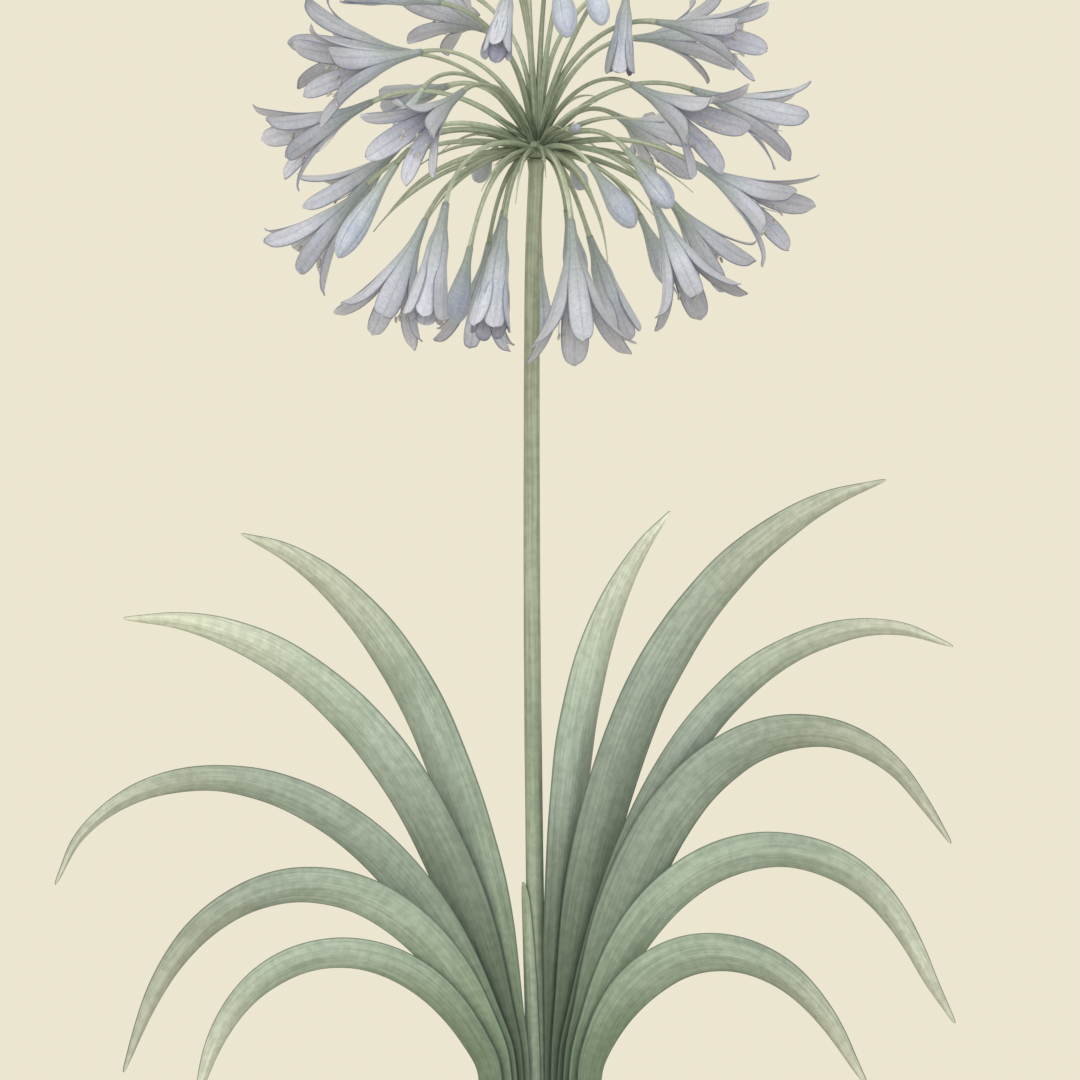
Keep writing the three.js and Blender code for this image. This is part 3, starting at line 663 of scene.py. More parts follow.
def build_rhizome(skin_finish, base_finish):
    """The rhizome: a corky knob ringed by leaf scars, with torn bases of old leaves at its ends."""
    low, high = (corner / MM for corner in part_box("rhizome"))
    half = (high - low) / 2
    middle = (high + low) / 2
    skin = Skin()
    rows = []
    for share in shares(30):
        outline = spline(CROWN_OUTLINE, share)
        z = low.z + (high.z - low.z) * outline.y
        scar = LEAF_SCAR * math.sin(z * 2.1) * ease(outline.y, 0.2, 0.5) * (share < 0.97)
        row = []
        for angle in full_turn(96):
            around = Vector((2.2 * math.cos(angle), 2.2 * math.sin(angle), z / 7))
            lump = CROWN_LUMP * noise.noise(around)
            x = (half.x * outline.x + scar + lump - CROWN_INSET) * math.cos(angle)
            y = (half.y * outline.x + scar + lump - CROWN_INSET) * math.sin(angle)
            spot = Vector((middle.x + x, middle.y + y, z))
            row.append(skin.point(spot, share, 0.0, (30 * angle, z)))
        rows.append(row)
    skin.round_body(rows, girth=60 * math.pi)
    rng = random.Random(5)
    for number in range(OLD_BASES):
        add_old_base(skin, rng, number, high.z, 1)
    skin.piece("rhizome_knob", [skin_finish, base_finish], "rhizome", "rhizome")


class AGAPANTHUS_OT_root_ball(bpy.types.Operator):
    """Builds the root ball, its roots and the rhizome"""

    bl_idname = "agapanthus.root_ball"
    bl_label = "Root ball and rhizome"

    def execute(self, context):
        settings = context.scene.agapanthus_roots
        # Moist garden loam: dark crumbs of 2 to 3 mm among paler clods, with no gloss
        soil = earth("crumbly_garden_loam", ("#4a3a29", settings.soil, "#a08a6a"), 2.4, 0.8, 0.95)
        # Smooth fleshy skin of storage roots: ivory to buff, stained by the soil
        fleshy = plant_skin(
            "fleshy_root_skin", ("#b8a67f", settings.root, "#a48f68", "#a58f6a", "#6b5638"),
            fibre=1.4, wash=14, margin=0.99, relief=0.15, streak=0.3, Roughness=0.7,
        )
        # Corky skin of an old rhizome: buff and olive, ringed by leaf scars
        cork = earth("corky_rhizome_skin", ("#7c7a56", "#a7a27a", "#c4bb96"), 1.6, 0.3, 0.8)
        # Papery bases of withered leaves: straw brown, with fibres under a millimetre apart
        straw = plant_skin(
            "withered_leaf_base", ("#b7a984", "#a99873", "#8a7550", "#c2b48e", "#5e4b30"),
            fibre=0.7, wash=8, margin=0.9, relief=0.2, streak=0.4, Roughness=0.85,
        )
        build_root_ball(soil)
        build_roots(settings.radius / MM, fleshy)
        build_rhizome(cork, straw)
        return {"FINISHED"}


# ---- Leaves ----

TIP_ROWS = 6
TIP_HALF_WIDTH = 0.15
CORE_SHARE, RIM_SHARE = 0.9, 0.62  # of the solid's thickness, at the midrib and at the margin
WAVER_LENGTH, RIPPLE_LENGTH = 24, 46
GROOVE_DEPTH, GROOVE_BREADTH = 0.22, 0.9
# Tones of each blade at its foot and at its tip, as painted shade and light: darker or paler than the
# blade's own tint, as light falls on it
BLADE_PAINTED_SHADE_AND_LIGHT = {
    "leaf_left_1": (0.2, -0.1), "leaf_left_2": (-0.7, 0.15), "leaf_left_3": (0.0, -0.3),
    "leaf_left_4": (0.9, -0.35), "leaf_left_5": (0.5, 0.1), "leaf_right_1": (-0.7, 0.35),
    "leaf_right_2": (-0.5, -0.3), "leaf_right_3": (-1.0, -0.2), "leaf_right_4": (-0.25, -0.45),
    "leaf_right_5": (0.55, -0.15), "leaf_right_6": (0.65, -0.12),
}


def blade_stations(node_name):
    """Front edge, midrib and back edge of a blade at each ring of its solid, with thicknesses."""
    stations = []
    across = Vector((0, -1, 0))
    for ring in ring_layers(node_name):
        span = max(((p - q for p in ring for q in ring)), key=lambda d: d.length).normalized()
        if span.dot(across) < 0:
            span.negate()
        across = span
        order = sorted(ring, key=across.dot)
        back, middle, front = order[:2], order[2:4], order[4:]
        stations.append((
            mean(front), mean(middle), mean(back),
            (middle[1] - middle[0]).length, (front[1] - front[0]).length,
        ))
    return [list(column) for column in zip(*stations)]


def build_blade(node_name, settings, seed, skin_finish):
    """One strap leaf, as a closed blade with a shallow channel, a keel and gently wavy margins."""
    fronts, middles, backs, cores, rims = blade_stations(node_name)
    length = sum((b - a).length for a, b in zip(middles, middles[1:]))
    foot_tone, tip_tone = BLADE_PAINTED_SHADE_AND_LIGHT[node_name]
    half = len(middles) // 2
    rise = (fronts[half] + backs[half]) / 2 - middles[half]
    upward = (fronts[half] - backs[half]).cross(middles[half + 1] - middles[half])
    facing = 1 if upward.dot(rise) > 0 else -1
    skin = Skin()
    rows = []
    for k in range(settings.rows + TIP_ROWS + 1):
        beyond = max(0, k - settings.rows) / TIP_ROWS
        share = min(1.0, k / settings.rows)
        front, middle, back = (spline(line, share) for line in (fronts, middles, backs))
        tangent = (spline(middles, share + 0.01) - spline(middles, share - 0.01)).normalized()
        across = (front - back) / 2
        channel = (front + back) / 2 - middle
        normal = across.cross(tangent).normalized() * facing
        onward = beyond * settings.tip / MM
        reach = length * share + onward
        middle = middle + tangent * onward
        width = across.length * (1 - beyond) ** 0.6 + TIP_HALF_WIDTH
        across.normalize()
        loose = ease(share, 0.22, 0.6)
        # painted shade and light, from the tone at the blade's foot to that at its tip
        skin.tone = foot_tone + (tip_tone - foot_tone) * ease(share, 0.15, 0.75)
        core = spline(cores, share) * CORE_SHARE * (1 - 0.5 * beyond)
        rim = spline(rims, share) * RIM_SHARE
        ring = []
        for side, u in both_faces(settings.columns):
            wander = noise.noise(Vector((reach / WAVER_LENGTH, 7.3 * seed + u, 2.1)))
            wander *= settings.waver / MM * loose
            wave = noise.noise(Vector((reach / RIPPLE_LENGTH, 3.7 * seed, 1.5 * math.copysign(1, u))))
            lift = settings.ripple / MM * loose * wave * abs(u) ** 2 * min(1.0, width / 6)
            thick = core + (rim - core) * abs(u) ** 1.5
            groove = -GROOVE_DEPTH * math.exp(-((u * width / GROOVE_BREADTH) ** 2)) * loose
            spot = middle + across * (u * width + wander * abs(u)) + channel * abs(u) ** 1.7
            spot = spot + normal * (lift + side * thick / 2 + groove)
            ring.append(skin.point(spot, share, abs(u), (u * width + 90 * seed, reach)))
        rows.append(ring[::facing])
    skin.flat_body(rows)
    skin.piece(f"{node_name}_blade", [skin_finish], "leaf", node_name)


class AGAPANTHUS_OT_leaves(bpy.types.Operator):
    """Builds the strap leaves of both sides of the fan"""

    bl_idname = "agapanthus.leaves"
    bl_label = "Leaves"

    def execute(self, context):
        settings = context.scene.agapanthus_leaves
        # Waxy cuticle of a living strap leaf: dull grey-green, with veins about 1.2 mm apart and
        # patches of paler bloom a few centimetres across. The wax keeps it nearly matt.
        cuticle = plant_skin(
            "waxy_leaf_cuticle", ("#6f8270", settings.blade, "#cbd2c5", "#afbfb7", "#4d6056"),
            fibre=1.2, wash=26, margin=0.93, relief=0.12,
            lines=((0.8, 0.03, 0.3), (0.45, 0.03, 0.16)), Roughness=0.6,
        )
        for seed, name in enumerate(LEAF_NODES, 1):
            build_blade(name, settings, seed, cuticle)
        return {"FINISHED"}


# ---- Scape and sheath leaf ----

STEM_SHARE = 0.985  # of the solid's radius, which the ribs and swellings bring back
STEM_SWELL = 0.018  # share of the radius by which it swells and thins
STEM_FLARE = 0.9  # under the knob
SHEATH_MIDDLE = math.radians(212)
SHEATH_WRAP = math.radians(150)
SHEATH_LEAN = 1.4
SHEATH_GAP = 0.35  # from the scape
SHEATH_KEEL = 0.25


def build_scape(ribs, skin_finish):
    """The flower stem: round, faintly ribbed, a little swollen where the knob sits on it."""
    rows = shares(150)
    radii = []
    for share in rows:
        swell = STEM_SWELL * noise.noise(Vector((share * 18, 4.2, 0.7)))
        flare = STEM_FLARE * ease(share, 0.985, 1.0)
        radii.append(spline(SCAPE_RADII, share) * (STEM_SHARE + swell) + flare)
    skin = Skin()
    skin.tube([spline(SCAPE_AXIS, share) for share in rows], radii, 44, ribs=ribs, rib_depth=0.012)
    skin.piece("scape_stem", [skin_finish], "scape", "scape")


def build_sheath(wall, skin_finish):
    """The short leaf folded round the foot of the scape, open on its right."""
    heights = [mean(ring).z for ring in ring_layers("sheath_leaf")]
    scape_length = SCAPE_AXIS[-1].z - SCAPE_AXIS[0].z
    rows = []
    skin = Skin(0.05)
    for t in shares(64):
        z = spline(heights, t)
        share = (z - FOOT_HEIGHT) / scape_length
        centre = spline(SCAPE_AXIS, share)
        centre = Vector((centre.x - SHEATH_LEAN * t**1.6, 0, z))
        blunt = math.sqrt(1 - clamp((t - 0.9) / 0.1) ** 2)
        radius = spline(SCAPE_RADII, share) + SHEATH_GAP
        wrap = SHEATH_WRAP * (1 - 0.55 * t**3) * (0.12 + 0.88 * blunt)
        wrap *= 1 + 0.03 * noise.noise(Vector((t * 9, 0, 5)))
        ring = []
        for side, u in both_faces(18):
            angle = SHEATH_MIDDLE + u * wrap / 2
            thin = wall * (1 - 0.6 * abs(u) ** 1.5) * (1 - 0.4 * t)
            keel = SHEATH_KEEL * math.exp(-((u / 0.12) ** 2)) * (side > 0)
            reach = radius + thin * (0.5 + 0.5 * side) + keel
            spot = centre + Vector((math.cos(angle), math.sin(angle), 0)) * reach
            ring.append(skin.point(spot, 0.15 + 0.85 * t, abs(u), (u * radius * wrap / 2, z)))
        rows.append(ring)
    skin.flat_body(rows)
    skin.piece("sheath_leaf_blade", [skin_finish], "sheath", "sheath_leaf")


class AGAPANTHUS_OT_scape(bpy.types.Operator):
    """Builds the flower stem and the sheath leaf at its foot"""

    bl_idname = "agapanthus.scape"
    bl_label = "Scape and sheath leaf"

    def execute(self, context):
        settings = context.scene.agapanthus_scape
        # Skin of a green stem: yellower than the leaves, with ribs about 2.4 mm apart
        stem = plant_skin(
            "ribbed_stem_skin", ("#8f9f8f", settings.stem, "#a3ab97", "#9faa99", "#56624d"),
            fibre=1.6, wash=30, margin=0.99, relief=0.1, streak=0.3, Roughness=0.58,
        )
        # Skin of the thin sheath leaf, as the leaves' but paler, with finer veins
        sheath = plant_skin(
            "thin_sheath_cuticle", ("#7c8d80", settings.sheath, "#9aa793", "#9cab9b", "#4c5c4a"),
            fibre=0.9, wash=20, margin=0.9, relief=0.08, Roughness=0.6,
        )
        build_scape(settings.ribs, stem)
        build_sheath(settings.wall / MM, sheath)
        return {"FINISHED"}


# ---- Stalks ----

STALK_NOD = 0.8
STALK_LOWEST_START = math.radians(-8)
STALK_STEEPEST_START = math.radians(88)
STALK_ROOT = 3.0  # distance of its start from the knob's middle
STALK_SINK = 0.1  # of its end into the bloom
STALK_PULL = 0.36
STALK_RADIUS = 1.3
STALK_FOOT, STALK_THINNING = 1.25, 0.42  # shares of the radius: at the foot, and its loss outwards
STALK_FLARE, STALK_WITHER = 0.2, 0.6  # gained under a bloom, or lost without one
STALK_STEPS = 30
# Azimuth, elevation, reach and tilt of the stalks whose blooms have dropped
BARE_STALKS = (
    (-168, -27, 84, -52), (160, -22, 78, -52), (20, -28, 92, -58),
    (46, -47, 68, -84), (-46, -40, 52, -74), (-34, 12, 54, -12),
)
# Older and slimmer bare stalks between them, in the same terms
SHRUNK_STALKS = (
    (-141, -29, 72, -55), (-116, -21, 60, -42), (-140, -10, 74, -34), (165, -1, 66, -40),
    (138, 1, 58, -31), (-101, -29, 56, -66), (-85, -18, 50, -50), (-76, -28, 66, -62),
    (-14, -30, 64, -48), (-9, -16, 74, -43), (-74, 8, 44, -18), (59, -1, 62, -28),
    (41, 13, 66, -8), (-118, 31, 52, 2), (57, 26, 58, -10), (-55, 22, 50, 3),
)
SHRUNK_SHARE = 0.68  # of a full stalk's radius
# Radius and height above its middle of each ring of the knob
KNOB_PROFILE = ((3.6, -4.4), (5.4, -2.6), (6.0, -0.6), (5.6, 1.4), (4.6, 3.0), (2.6, 4.2))
BRACTS = 64
BRACT_ROOT, BRACT_RADIUS = 3.5, 0.95  # its start lies this far from the knob's middle
BRACT_LENGTHS, BRACT_ELEVATIONS = (8, 26), (-24, 66)
BRACT_DROOP = 0.35  # share of the length, at most


def closest_corners(points, count):
    """The corners, as many as count, that lie closest together."""
    groups = [sorted(points, key=lambda q: (q - p).length)[:count] for p in points]
    return min(groups, key=lambda group: (group[-1] - group[0]).length)


def bloom_seat(node_name):
    """Foot and axes of a bloom: its solid's corners, seat, length axis and first side axis."""
    points, _ = solid_points(node_name)
    if node_name in FLORET_NODES:
        foot = closest_corners(points, 7)
    else:
        tip = mean(closest_corners(points, 6))
        foot = sorted(points, key=lambda p: (p - tip).length)[-6:]
    seat = mean(foot)
    rim = sorted(foot, key=lambda p: (p - seat).length)[-6:]
    first = (rim[0] - seat).normalized()
    second = max((first.cross(p - seat) for p in rim), key=lambda v: v.length)
    axis = second.normalized()
    if axis.dot(mean(points) - seat) < 0:
        axis.negate()
    return points, seat, axis, first


def stalk_line(seat, axis):
    """Points of the stalk that arches from the knob to a bloom's seat, along its axis at the end."""
    out = seat - HUB
    azimuth = math.atan2(out.y, out.x)
    elevation = math.asin(out.z / out.length)
    tilt = math.asin(clamp(axis.z, -1, 1))
    rise = clamp(elevation + STALK_NOD * (elevation - tilt), STALK_LOWEST_START, STALK_STEEPEST_START)
    start = HUB + direction(azimuth, max(elevation, STALK_LOWEST_START)) * STALK_ROOT
    end = seat - axis * STALK_SINK
    pull = STALK_PULL * out.length
    controls = (start, start + direction(azimuth, rise) * pull, end - axis * pull, end)
    return [bezier(*controls, t) for t in shares(STALK_STEPS)]


def build_stalks(skin_finish):
    """The knob and every stalk on it, each thinner outwards, and those without a bloom withering."""
    skin = Skin()
    rows = []
    for radius, height in KNOB_PROFILE:
        row = []
        for angle in full_turn(36):
            reach = radius * (1 + 0.05 * math.cos(9 * angle + height))
            spot = HUB + Vector((reach * math.cos(angle), reach * math.sin(angle), height))
            row.append(skin.point(spot, 0.0, 0.0, (angle * 5, height)))
        rows.append(row)
    ends = [HUB + Vector((0, 0, height)) for height in (-KNOB_HALF_HEIGHT, KNOB_HALF_HEIGHT)]
    skin.round_body(rows, ends, (0.0, 0.0))
    rng = random.Random(7)
    seats = [bloom_seat(name)[1:3] for name in FLORET_NODES + BUD_NODES]
    blooms = len(seats)
    for azimuth, elevation, reach, tilt in BARE_STALKS + SHRUNK_STALKS:
        around = math.radians(azimuth)
        seat = HUB + direction(around, math.radians(elevation)) * reach
        seats.append((seat, direction(around, math.radians(tilt))))
    for number, (seat, axis) in enumerate(seats):
        slim = STALK_RADIUS * rng.uniform(0.85, 1.1)
        bare = number >= blooms
        if number >= blooms + len(BARE_STALKS):
            slim *= SHRUNK_SHARE
        radii = []
        for t in shares(STALK_STEPS):
            thin = STALK_FOOT - STALK_THINNING * ease(t, 0.0, 0.7)
            end = -STALK_WITHER * ease(t, 0.6, 1.0) if bare else STALK_FLARE * ease(t, 0.88, 1.0)
            radii.append(slim * (thin + end))
        skin.tone = rng.uniform(-0.6, 0.4)
        skin.tube(stalk_line(seat, axis), radii, 10, start=60 * rng.random())
    skin.piece("umbel_stalks", [skin_finish], "pedicel", "pedicels")


def build_bracteoles(skin_finish):
    """Thread-like bracts that stand out between the feet of the stalks."""
    rng = random.Random(19)
    skin = Skin()
    for _ in range(BRACTS):
        azimuth = rng.uniform(0, 2 * math.pi)
        elevation = math.radians(rng.uniform(*BRACT_ELEVATIONS))
        length = rng.uniform(*BRACT_LENGTHS)
        out = direction(azimuth, elevation)
        droop = Vector((0, 0, -1)) * rng.uniform(0.0, BRACT_DROOP)
        line = []
        radii = []
        for t in shares(8):
            line.append(HUB + out * (BRACT_ROOT + length * t) + droop * (length * t * t))
            radii.append(BRACT_RADIUS * (1 - 0.9 * t**1.5))
        # painted shade: the bracts take only darker tones, to deepen the middle of the umbel
        skin.tone = rng.uniform(-1.0, -0.2)
        skin.tube(line, radii, 6)
    skin.piece("umbel_bracteoles", [skin_finish], "pedicel")


# ---- Blooms ----

# Shares of a floret's length: height and radius of the tube's rings, of the mouth where the lobes
# part, and of a lobe's stations, which have a half width too
TUBE_PROFILE = ((0.0, 0.024), (0.2, 0.045), (0.34, 0.08))
SPLIT_HEIGHT, SPLIT_RADIUS = 0.5, 0.135
LOBE_PROFILE = ((0.66, 0.195, 0.096), (0.82, 0.275, 0.102), (0.945, 0.36, 0.082))
SOLID_LOBE_WIDTH = 0.098  # half width of a broad lobe at the second of these heights, on the solid
LOBE_END = (0.995, 0.415)
# Share of the way from foot to tip, in stations, at which the lobes part
SPLIT_SHARE = len(TUBE_PROFILE) / (len(TUBE_PROFILE) + 1 + len(LOBE_PROFILE))
LOBE_LAP = 0.5  # how far each second lobe stands out of the funnel, and the others in
OPEN_REACH = 0.33  # share of the length from which a floret counts as open
HALF_SPREAD, HALF_THROAT = 0.35, 0.7  # shares of the open floret's
HALF_BREADTH = 1.2  # of the bell's lobes over those of its solid, so that they lap
LOBE_ROUND_FROM = 0.76  # share of a lobe from which its outline rounds off
LOBE_RECURVE = 0.055  # share of the length by which a tip rolls back at most
LOBE_TWIST = 0.22  # at a tip, at most, in radians
LOBE_WAVES = (1.4, 2.4)  # half waves along a margin
LOBE_BLUNTNESS = (0.45, 0.75)  # half width at a tip over that at the last station
FLORET_SHADES, LOBE_SHADES, BUD_SHADES = (-0.4, 0.1), (-0.5, 0.1), (-0.5, 0.6)
LOBE_HOLLOW, BELL_HOLLOW = 0.1, 0.42  # depth over half width, and what half-open lobes have more
BELL_DRAW_IN = 0.07  # share of the length by which a half-open floret's tips draw in
SIXTH_RISE = 0.268  # of a sixth of a circle, over its half width
SEAM = 0.02  # distance within which the lobes' shared points are joined
CREASE_DEPTH, CREASE_SHARE = 0.35, 0.16  # of the midline, whose breadth is a share of the half width
# Height along the axis and radius of each ring of the receptacle that takes the stalk
FLORET_RECEPTACLE = ((-0.35, 0.9), (0.0, 1.25), (0.6, 1.4), (1.3, 1.25), (1.9, 0.7))
BUD_RECEPTACLE = ((-0.3, 0.75), (0.0, 1.2), (0.5, 1.35), (1.0, 1.1), (1.4, 0.5))
# Heights of stamens and style as shares of the floret's length
STAMEN_FOOT, STAMEN_TOPS, STYLE_TOP = 0.3, (0.74, 0.86), 0.9
STAMEN_OUT, STAMEN_SPREAD, STAMEN_LEAN = 0.045, 0.075, 0.1  # away from the axis, and downwards
STAMEN_TAPER = 0.35  # share of the radius
BELL_STAMEN_SHARE = 0.92  # of an open floret's
# Place along the anther and radius there
ANTHER_PROFILE = ((-1.5, 0.2), (-0.9, 0.55), (0.0, 0.66), (0.9, 0.55), (1.5, 0.2))
FURL_START, FURL_SPAN = 36, 14  # a bud's lobes begin to part at this length, over this more
BUD_BENDS = (0.01, 0.04)  # shares of a bud's length by which its tip droops
BUD_ROUND_FROM = 0.9  # share of a bud's length from which its tip rounds off


def lower_side(axis, first):
    """Direction across a bloom's axis that points most to the ground."""
    down = Vector((0, 0, -1)) - axis * -axis.z
    return down.normalized() if down.length > 0.05 else first


def add_receptacle(skin, seat, axis, profile, sides, finish):
    """The small round receptacle that closes a bloom's foot and takes its stalk."""
    skin.tube([seat + axis * h for h, _ in profile], [r for _, r in profile], sides, finish)


class Floret:
    """A floret in the making: its seat and axes, its measures and its six lobes."""

    def __init__(self, node_name, settings, rng):
        points, self.seat, self.axis, self.first = bloom_seat(node_name)
        self.second = self.axis.cross(self.first)
        self.settings = settings
        self.rng = rng
        self.skin = Skin()
        self.measure(points)

    def measure(self, points):
        """Reads length, openness and throat, and each lobe's angle, sway, spread and breadth."""
        lines = (self.first, self.second, self.axis)
        local = [[(p - self.seat).dot(line) for line in lines] for p in points]
        length = max(z for _, _, z in local) / LOBE_END[0]
        tips = [(math.atan2(y, x), math.hypot(x, y)) for x, y, z in local if z > 0.98 * length]
        sides = [(x, y) for x, y, z in local if abs(z - LOBE_PROFILE[1][0] * length) < 0.05]
        opened = sum(r for _, r in tips) / len(tips) > OPEN_REACH * length
        self.length = length
        self.openness = 1.0 if opened else HALF_SPREAD
        self.throat = SPLIT_RADIUS * length * (1.0 if opened else HALF_THROAT)
        breadth = 1.0 if opened else HALF_BREADTH
        self.lobes = []
        for angle in full_turn(6):
            tip_angle, reach = min(tips, key=lambda tip: abs(turn_between(angle, tip[0])))
            pair = sorted(sides, key=lambda s: abs(turn_between(angle, math.atan2(s[1], s[0]))))[:2]
            width = math.dist(*pair) / 2
            spread = (reach - self.throat) / ((LOBE_END[1] - SPLIT_RADIUS) * length)
            broad = breadth * width / (SOLID_LOBE_WIDTH * length)
            self.lobes.append((angle, turn_between(angle, tip_angle), spread, broad))

    def radial(self, angle):
        """Direction away from the axis at an angle round it."""
        return swing(self.first, self.second, angle)

    def midline(self, amount, broad, blunt):
        """Reach from the axis, height and half width along the middle of a lobe."""
        length, throat = self.length, self.throat
        line = [Vector((r * length, h * length, r * length * 0.5)) for h, r in TUBE_PROFILE]
        line.append(Vector((throat, SPLIT_HEIGHT * length, throat * 0.5)))
        for h, r, w in (*LOBE_PROFILE, (*LOBE_END, LOBE_PROFILE[-1][2] * blunt)):
            reach = throat + (r - SPLIT_RADIUS) * length * amount
            line.append(Vector((reach, h * length, w * length * broad)))
        return line

    def add_lobe(self, number, shade):
        """One lobe with the sixth of the tube below it, as an open sheet."""
        seat, axis, length, openness = self.seat, self.axis, self.length, self.openness
        rng, settings, skin = self.rng, self.settings, self.skin
        angle, sway, spread, broad = self.lobes[number]
        recurve = rng.uniform(0.0, LOBE_RECURVE) * length * (0.35 + 0.65 * openness)
        twist = rng.uniform(-LOBE_TWIST, LOBE_TWIST)
        phase = rng.uniform(0, 2 * math.pi)
        waves = rng.uniform(*LOBE_WAVES)
        blunt = rng.uniform(*LOBE_BLUNTNESS)
        own_shade = rng.uniform(*LOBE_SHADES)
        layer = LOBE_LAP if number % 2 else -LOBE_LAP
        draw_in = BELL_DRAW_IN * (1 - openness) * length
        common, own = (self.midline(amount, broad, blunt) for amount in (openness, spread))
        places = [2 * i / settings.columns - 1 for i in range(settings.columns + 1)]
        rows = []
        for k in range(settings.rows + 1):
            share = 1 - (1 - k / settings.rows) ** 1.25
            past = clamp((share - SPLIT_SHARE) / (1 - SPLIT_SHARE))
            skin.tone = shade + (own_shade - shade) * ease(past, 0.0, 0.5)
            if share <= SPLIT_SHARE:
                reach, height, width = spline(common, share)
                middle = seat + axis * height
                spots = [middle + self.radial(angle + u * math.pi / 6) * reach for u in places]
            else:
                reach, height, width = spline(own, share)
                ahead = spline(own, share + 0.01) - spline(own, share - 0.01)
                slope = Vector((ahead.y, -ahead.x)).normalized()  # outward normal of the midline
                curl = recurve * past**3
                reach += curl * 0.6 + layer * past * (2 - past) - draw_in * past**3
                height -= curl
                end = clamp((share - LOBE_ROUND_FROM) / (1 - LOBE_ROUND_FROM))
                width *= (1 - (0.985 * end) ** 2) ** 0.58
                radial = self.radial(angle + sway * past)
                level = axis.cross(radial)
                outward = radial * slope.x + axis * slope.y
                roll = twist * past**1.5
                lateral = swing(level, outward, roll)
                normal = swing(outward, level, -roll)
                middle = seat + radial * reach + axis * height
                free = ease(share, SPLIT_SHARE, 1.0)
                hollow = SIXTH_RISE * (1 - free) ** 1.5
                hollow += (LOBE_HOLLOW + BELL_HOLLOW * (1 - openness)) * free
                dish = width * (hollow - 0.2 * openness * past**4)
                spots = []
                for u in places:
                    wave = math.sin(waves * math.pi * past + phase + (u > 0))
                    rise = settings.ripple / MM * past * u * u * wave
                    crease = CREASE_DEPTH * math.exp(-((u / CREASE_SHARE) ** 2)) * past * (1 - past)
                    lift = rise + crease - dish * u * u
                    spots.append(middle + lateral * (u * width) + normal * lift)
            rows.append([
                skin.point(spot, share, abs(u), (u * width + 40 * number, height))
                for u, spot in zip(places, spots)
            ])
        skin.strips(rows, closed=False)

    def add_stamens(self):
        """Six stamens and a style, leaning to the floret's lower side and turning up at the end."""
        down = lower_side(self.axis, self.first)
        radius = self.settings.filament / MM
        self.skin.tone = 0.2
        for k in range(7):
            style = k == 6
            angle = k * math.pi / 3 + math.pi / 6 + self.rng.uniform(-0.15, 0.15)
            radial = Vector() if style else self.radial(angle)
            top = STYLE_TOP if style else self.rng.uniform(*STAMEN_TOPS)
            top *= 1 if self.openness == 1 else BELL_STAMEN_SHARE
            line = []
            radii = []
            for t in shares(12):
                height = (STAMEN_FOOT + (top - STAMEN_FOOT) * t) * self.length
                out = (STAMEN_OUT + STAMEN_SPREAD * t * self.openness) * self.length
                bow = math.sin(math.pi * 0.72 * t)
                lean = (STAMEN_LEAN * bow * self.openness) * self.length
                line.append(self.seat + self.axis * height + radial * out + down * lean)
                radii.append(radius * (1 - STAMEN_TAPER * t))
            self.skin.tube(line, radii, 6, finish=1)
            if not style:
                ahead = (line[-1] - line[-2]).normalized()
                across = (ahead + down * 0.8).normalized()
                centres = [line[-1] + across * place for place, _ in ANTHER_PROFILE]
                self.skin.tube(centres, [r for _, r in ANTHER_PROFILE], 8, finish=2)


def build_floret(node_name, settings, rng, finishes):
    """A funnel of six lobes joined below in a tube, with its stamens and style."""
    floret = Floret(node_name, settings, rng)
    shade = rng.uniform(*FLORET_SHADES)
    for number in range(len(floret.lobes)):
        floret.add_lobe(number, shade)
    floret.skin.merge(SEAM)
    floret.skin.thicken(settings.thickness / MM)
    add_receptacle(floret.skin, floret.seat, floret.axis, FLORET_RECEPTACLE, 14, 3)
    floret.add_stamens()
    floret.skin.piece(f"{node_name}_bloom", finishes, "floret", node_name)


def build_bud(node_name, rng, finishes):
    """A closed club-shaped bud, with shallow furrows where its lobes meet."""
    points, seat, axis, first = bloom_seat(node_name)
    second = axis.cross(first)
    heights = [(p - seat).dot(axis) for p in points]
    length = max(heights)
    rings = {}
    for p, height in zip(points, heights):
        rings.setdefault(round(height, 1), []).append((p - seat - axis * height).length)
    profile = [Vector((key, sum(rings[key]) / len(rings[key]))) for key in sorted(rings)]
    skin = Skin(rng.uniform(*BUD_SHADES))
    loosened = clamp((length - FURL_START) / FURL_SPAN)
    bend = rng.uniform(*BUD_BENDS) * length
    droop = lower_side(axis, first)
    turn = rng.uniform(0, math.pi)
    rows = []
    for share in shares(40):
        height, radius = spline(profile, share)
        end = clamp((share - BUD_ROUND_FROM) / (1 - BUD_ROUND_FROM))
        radius *= math.sqrt(max(0.02, 1 - end * end))
        middle = seat + axis * height + droop * (bend * share**2)
        furrow = (0.05 + 0.05 * share) * ease(share, 0.25, 0.8)
        furrow *= 1 + 1.2 * loosened * ease(share, 0.7, 1.0)
        row = []
        for angle in full_turn(48):
            lobe = abs(math.cos(3 * (angle + turn)))
            around = swing(first, second, angle)
            spot = middle + around * (radius * (1 - furrow * (1 - lobe) ** 1.5))
            row.append(skin.point(spot, share, 0.96 * (1 - lobe) ** 2, (angle * length / 8, height)))
        rows.append(row)
    skin.round_body(rows, girth=2 * math.pi * length / 8)
    add_receptacle(skin, seat, axis, BUD_RECEPTACLE, 12, 1)
    skin.piece(f"{node_name}_club", finishes, "bud", node_name)


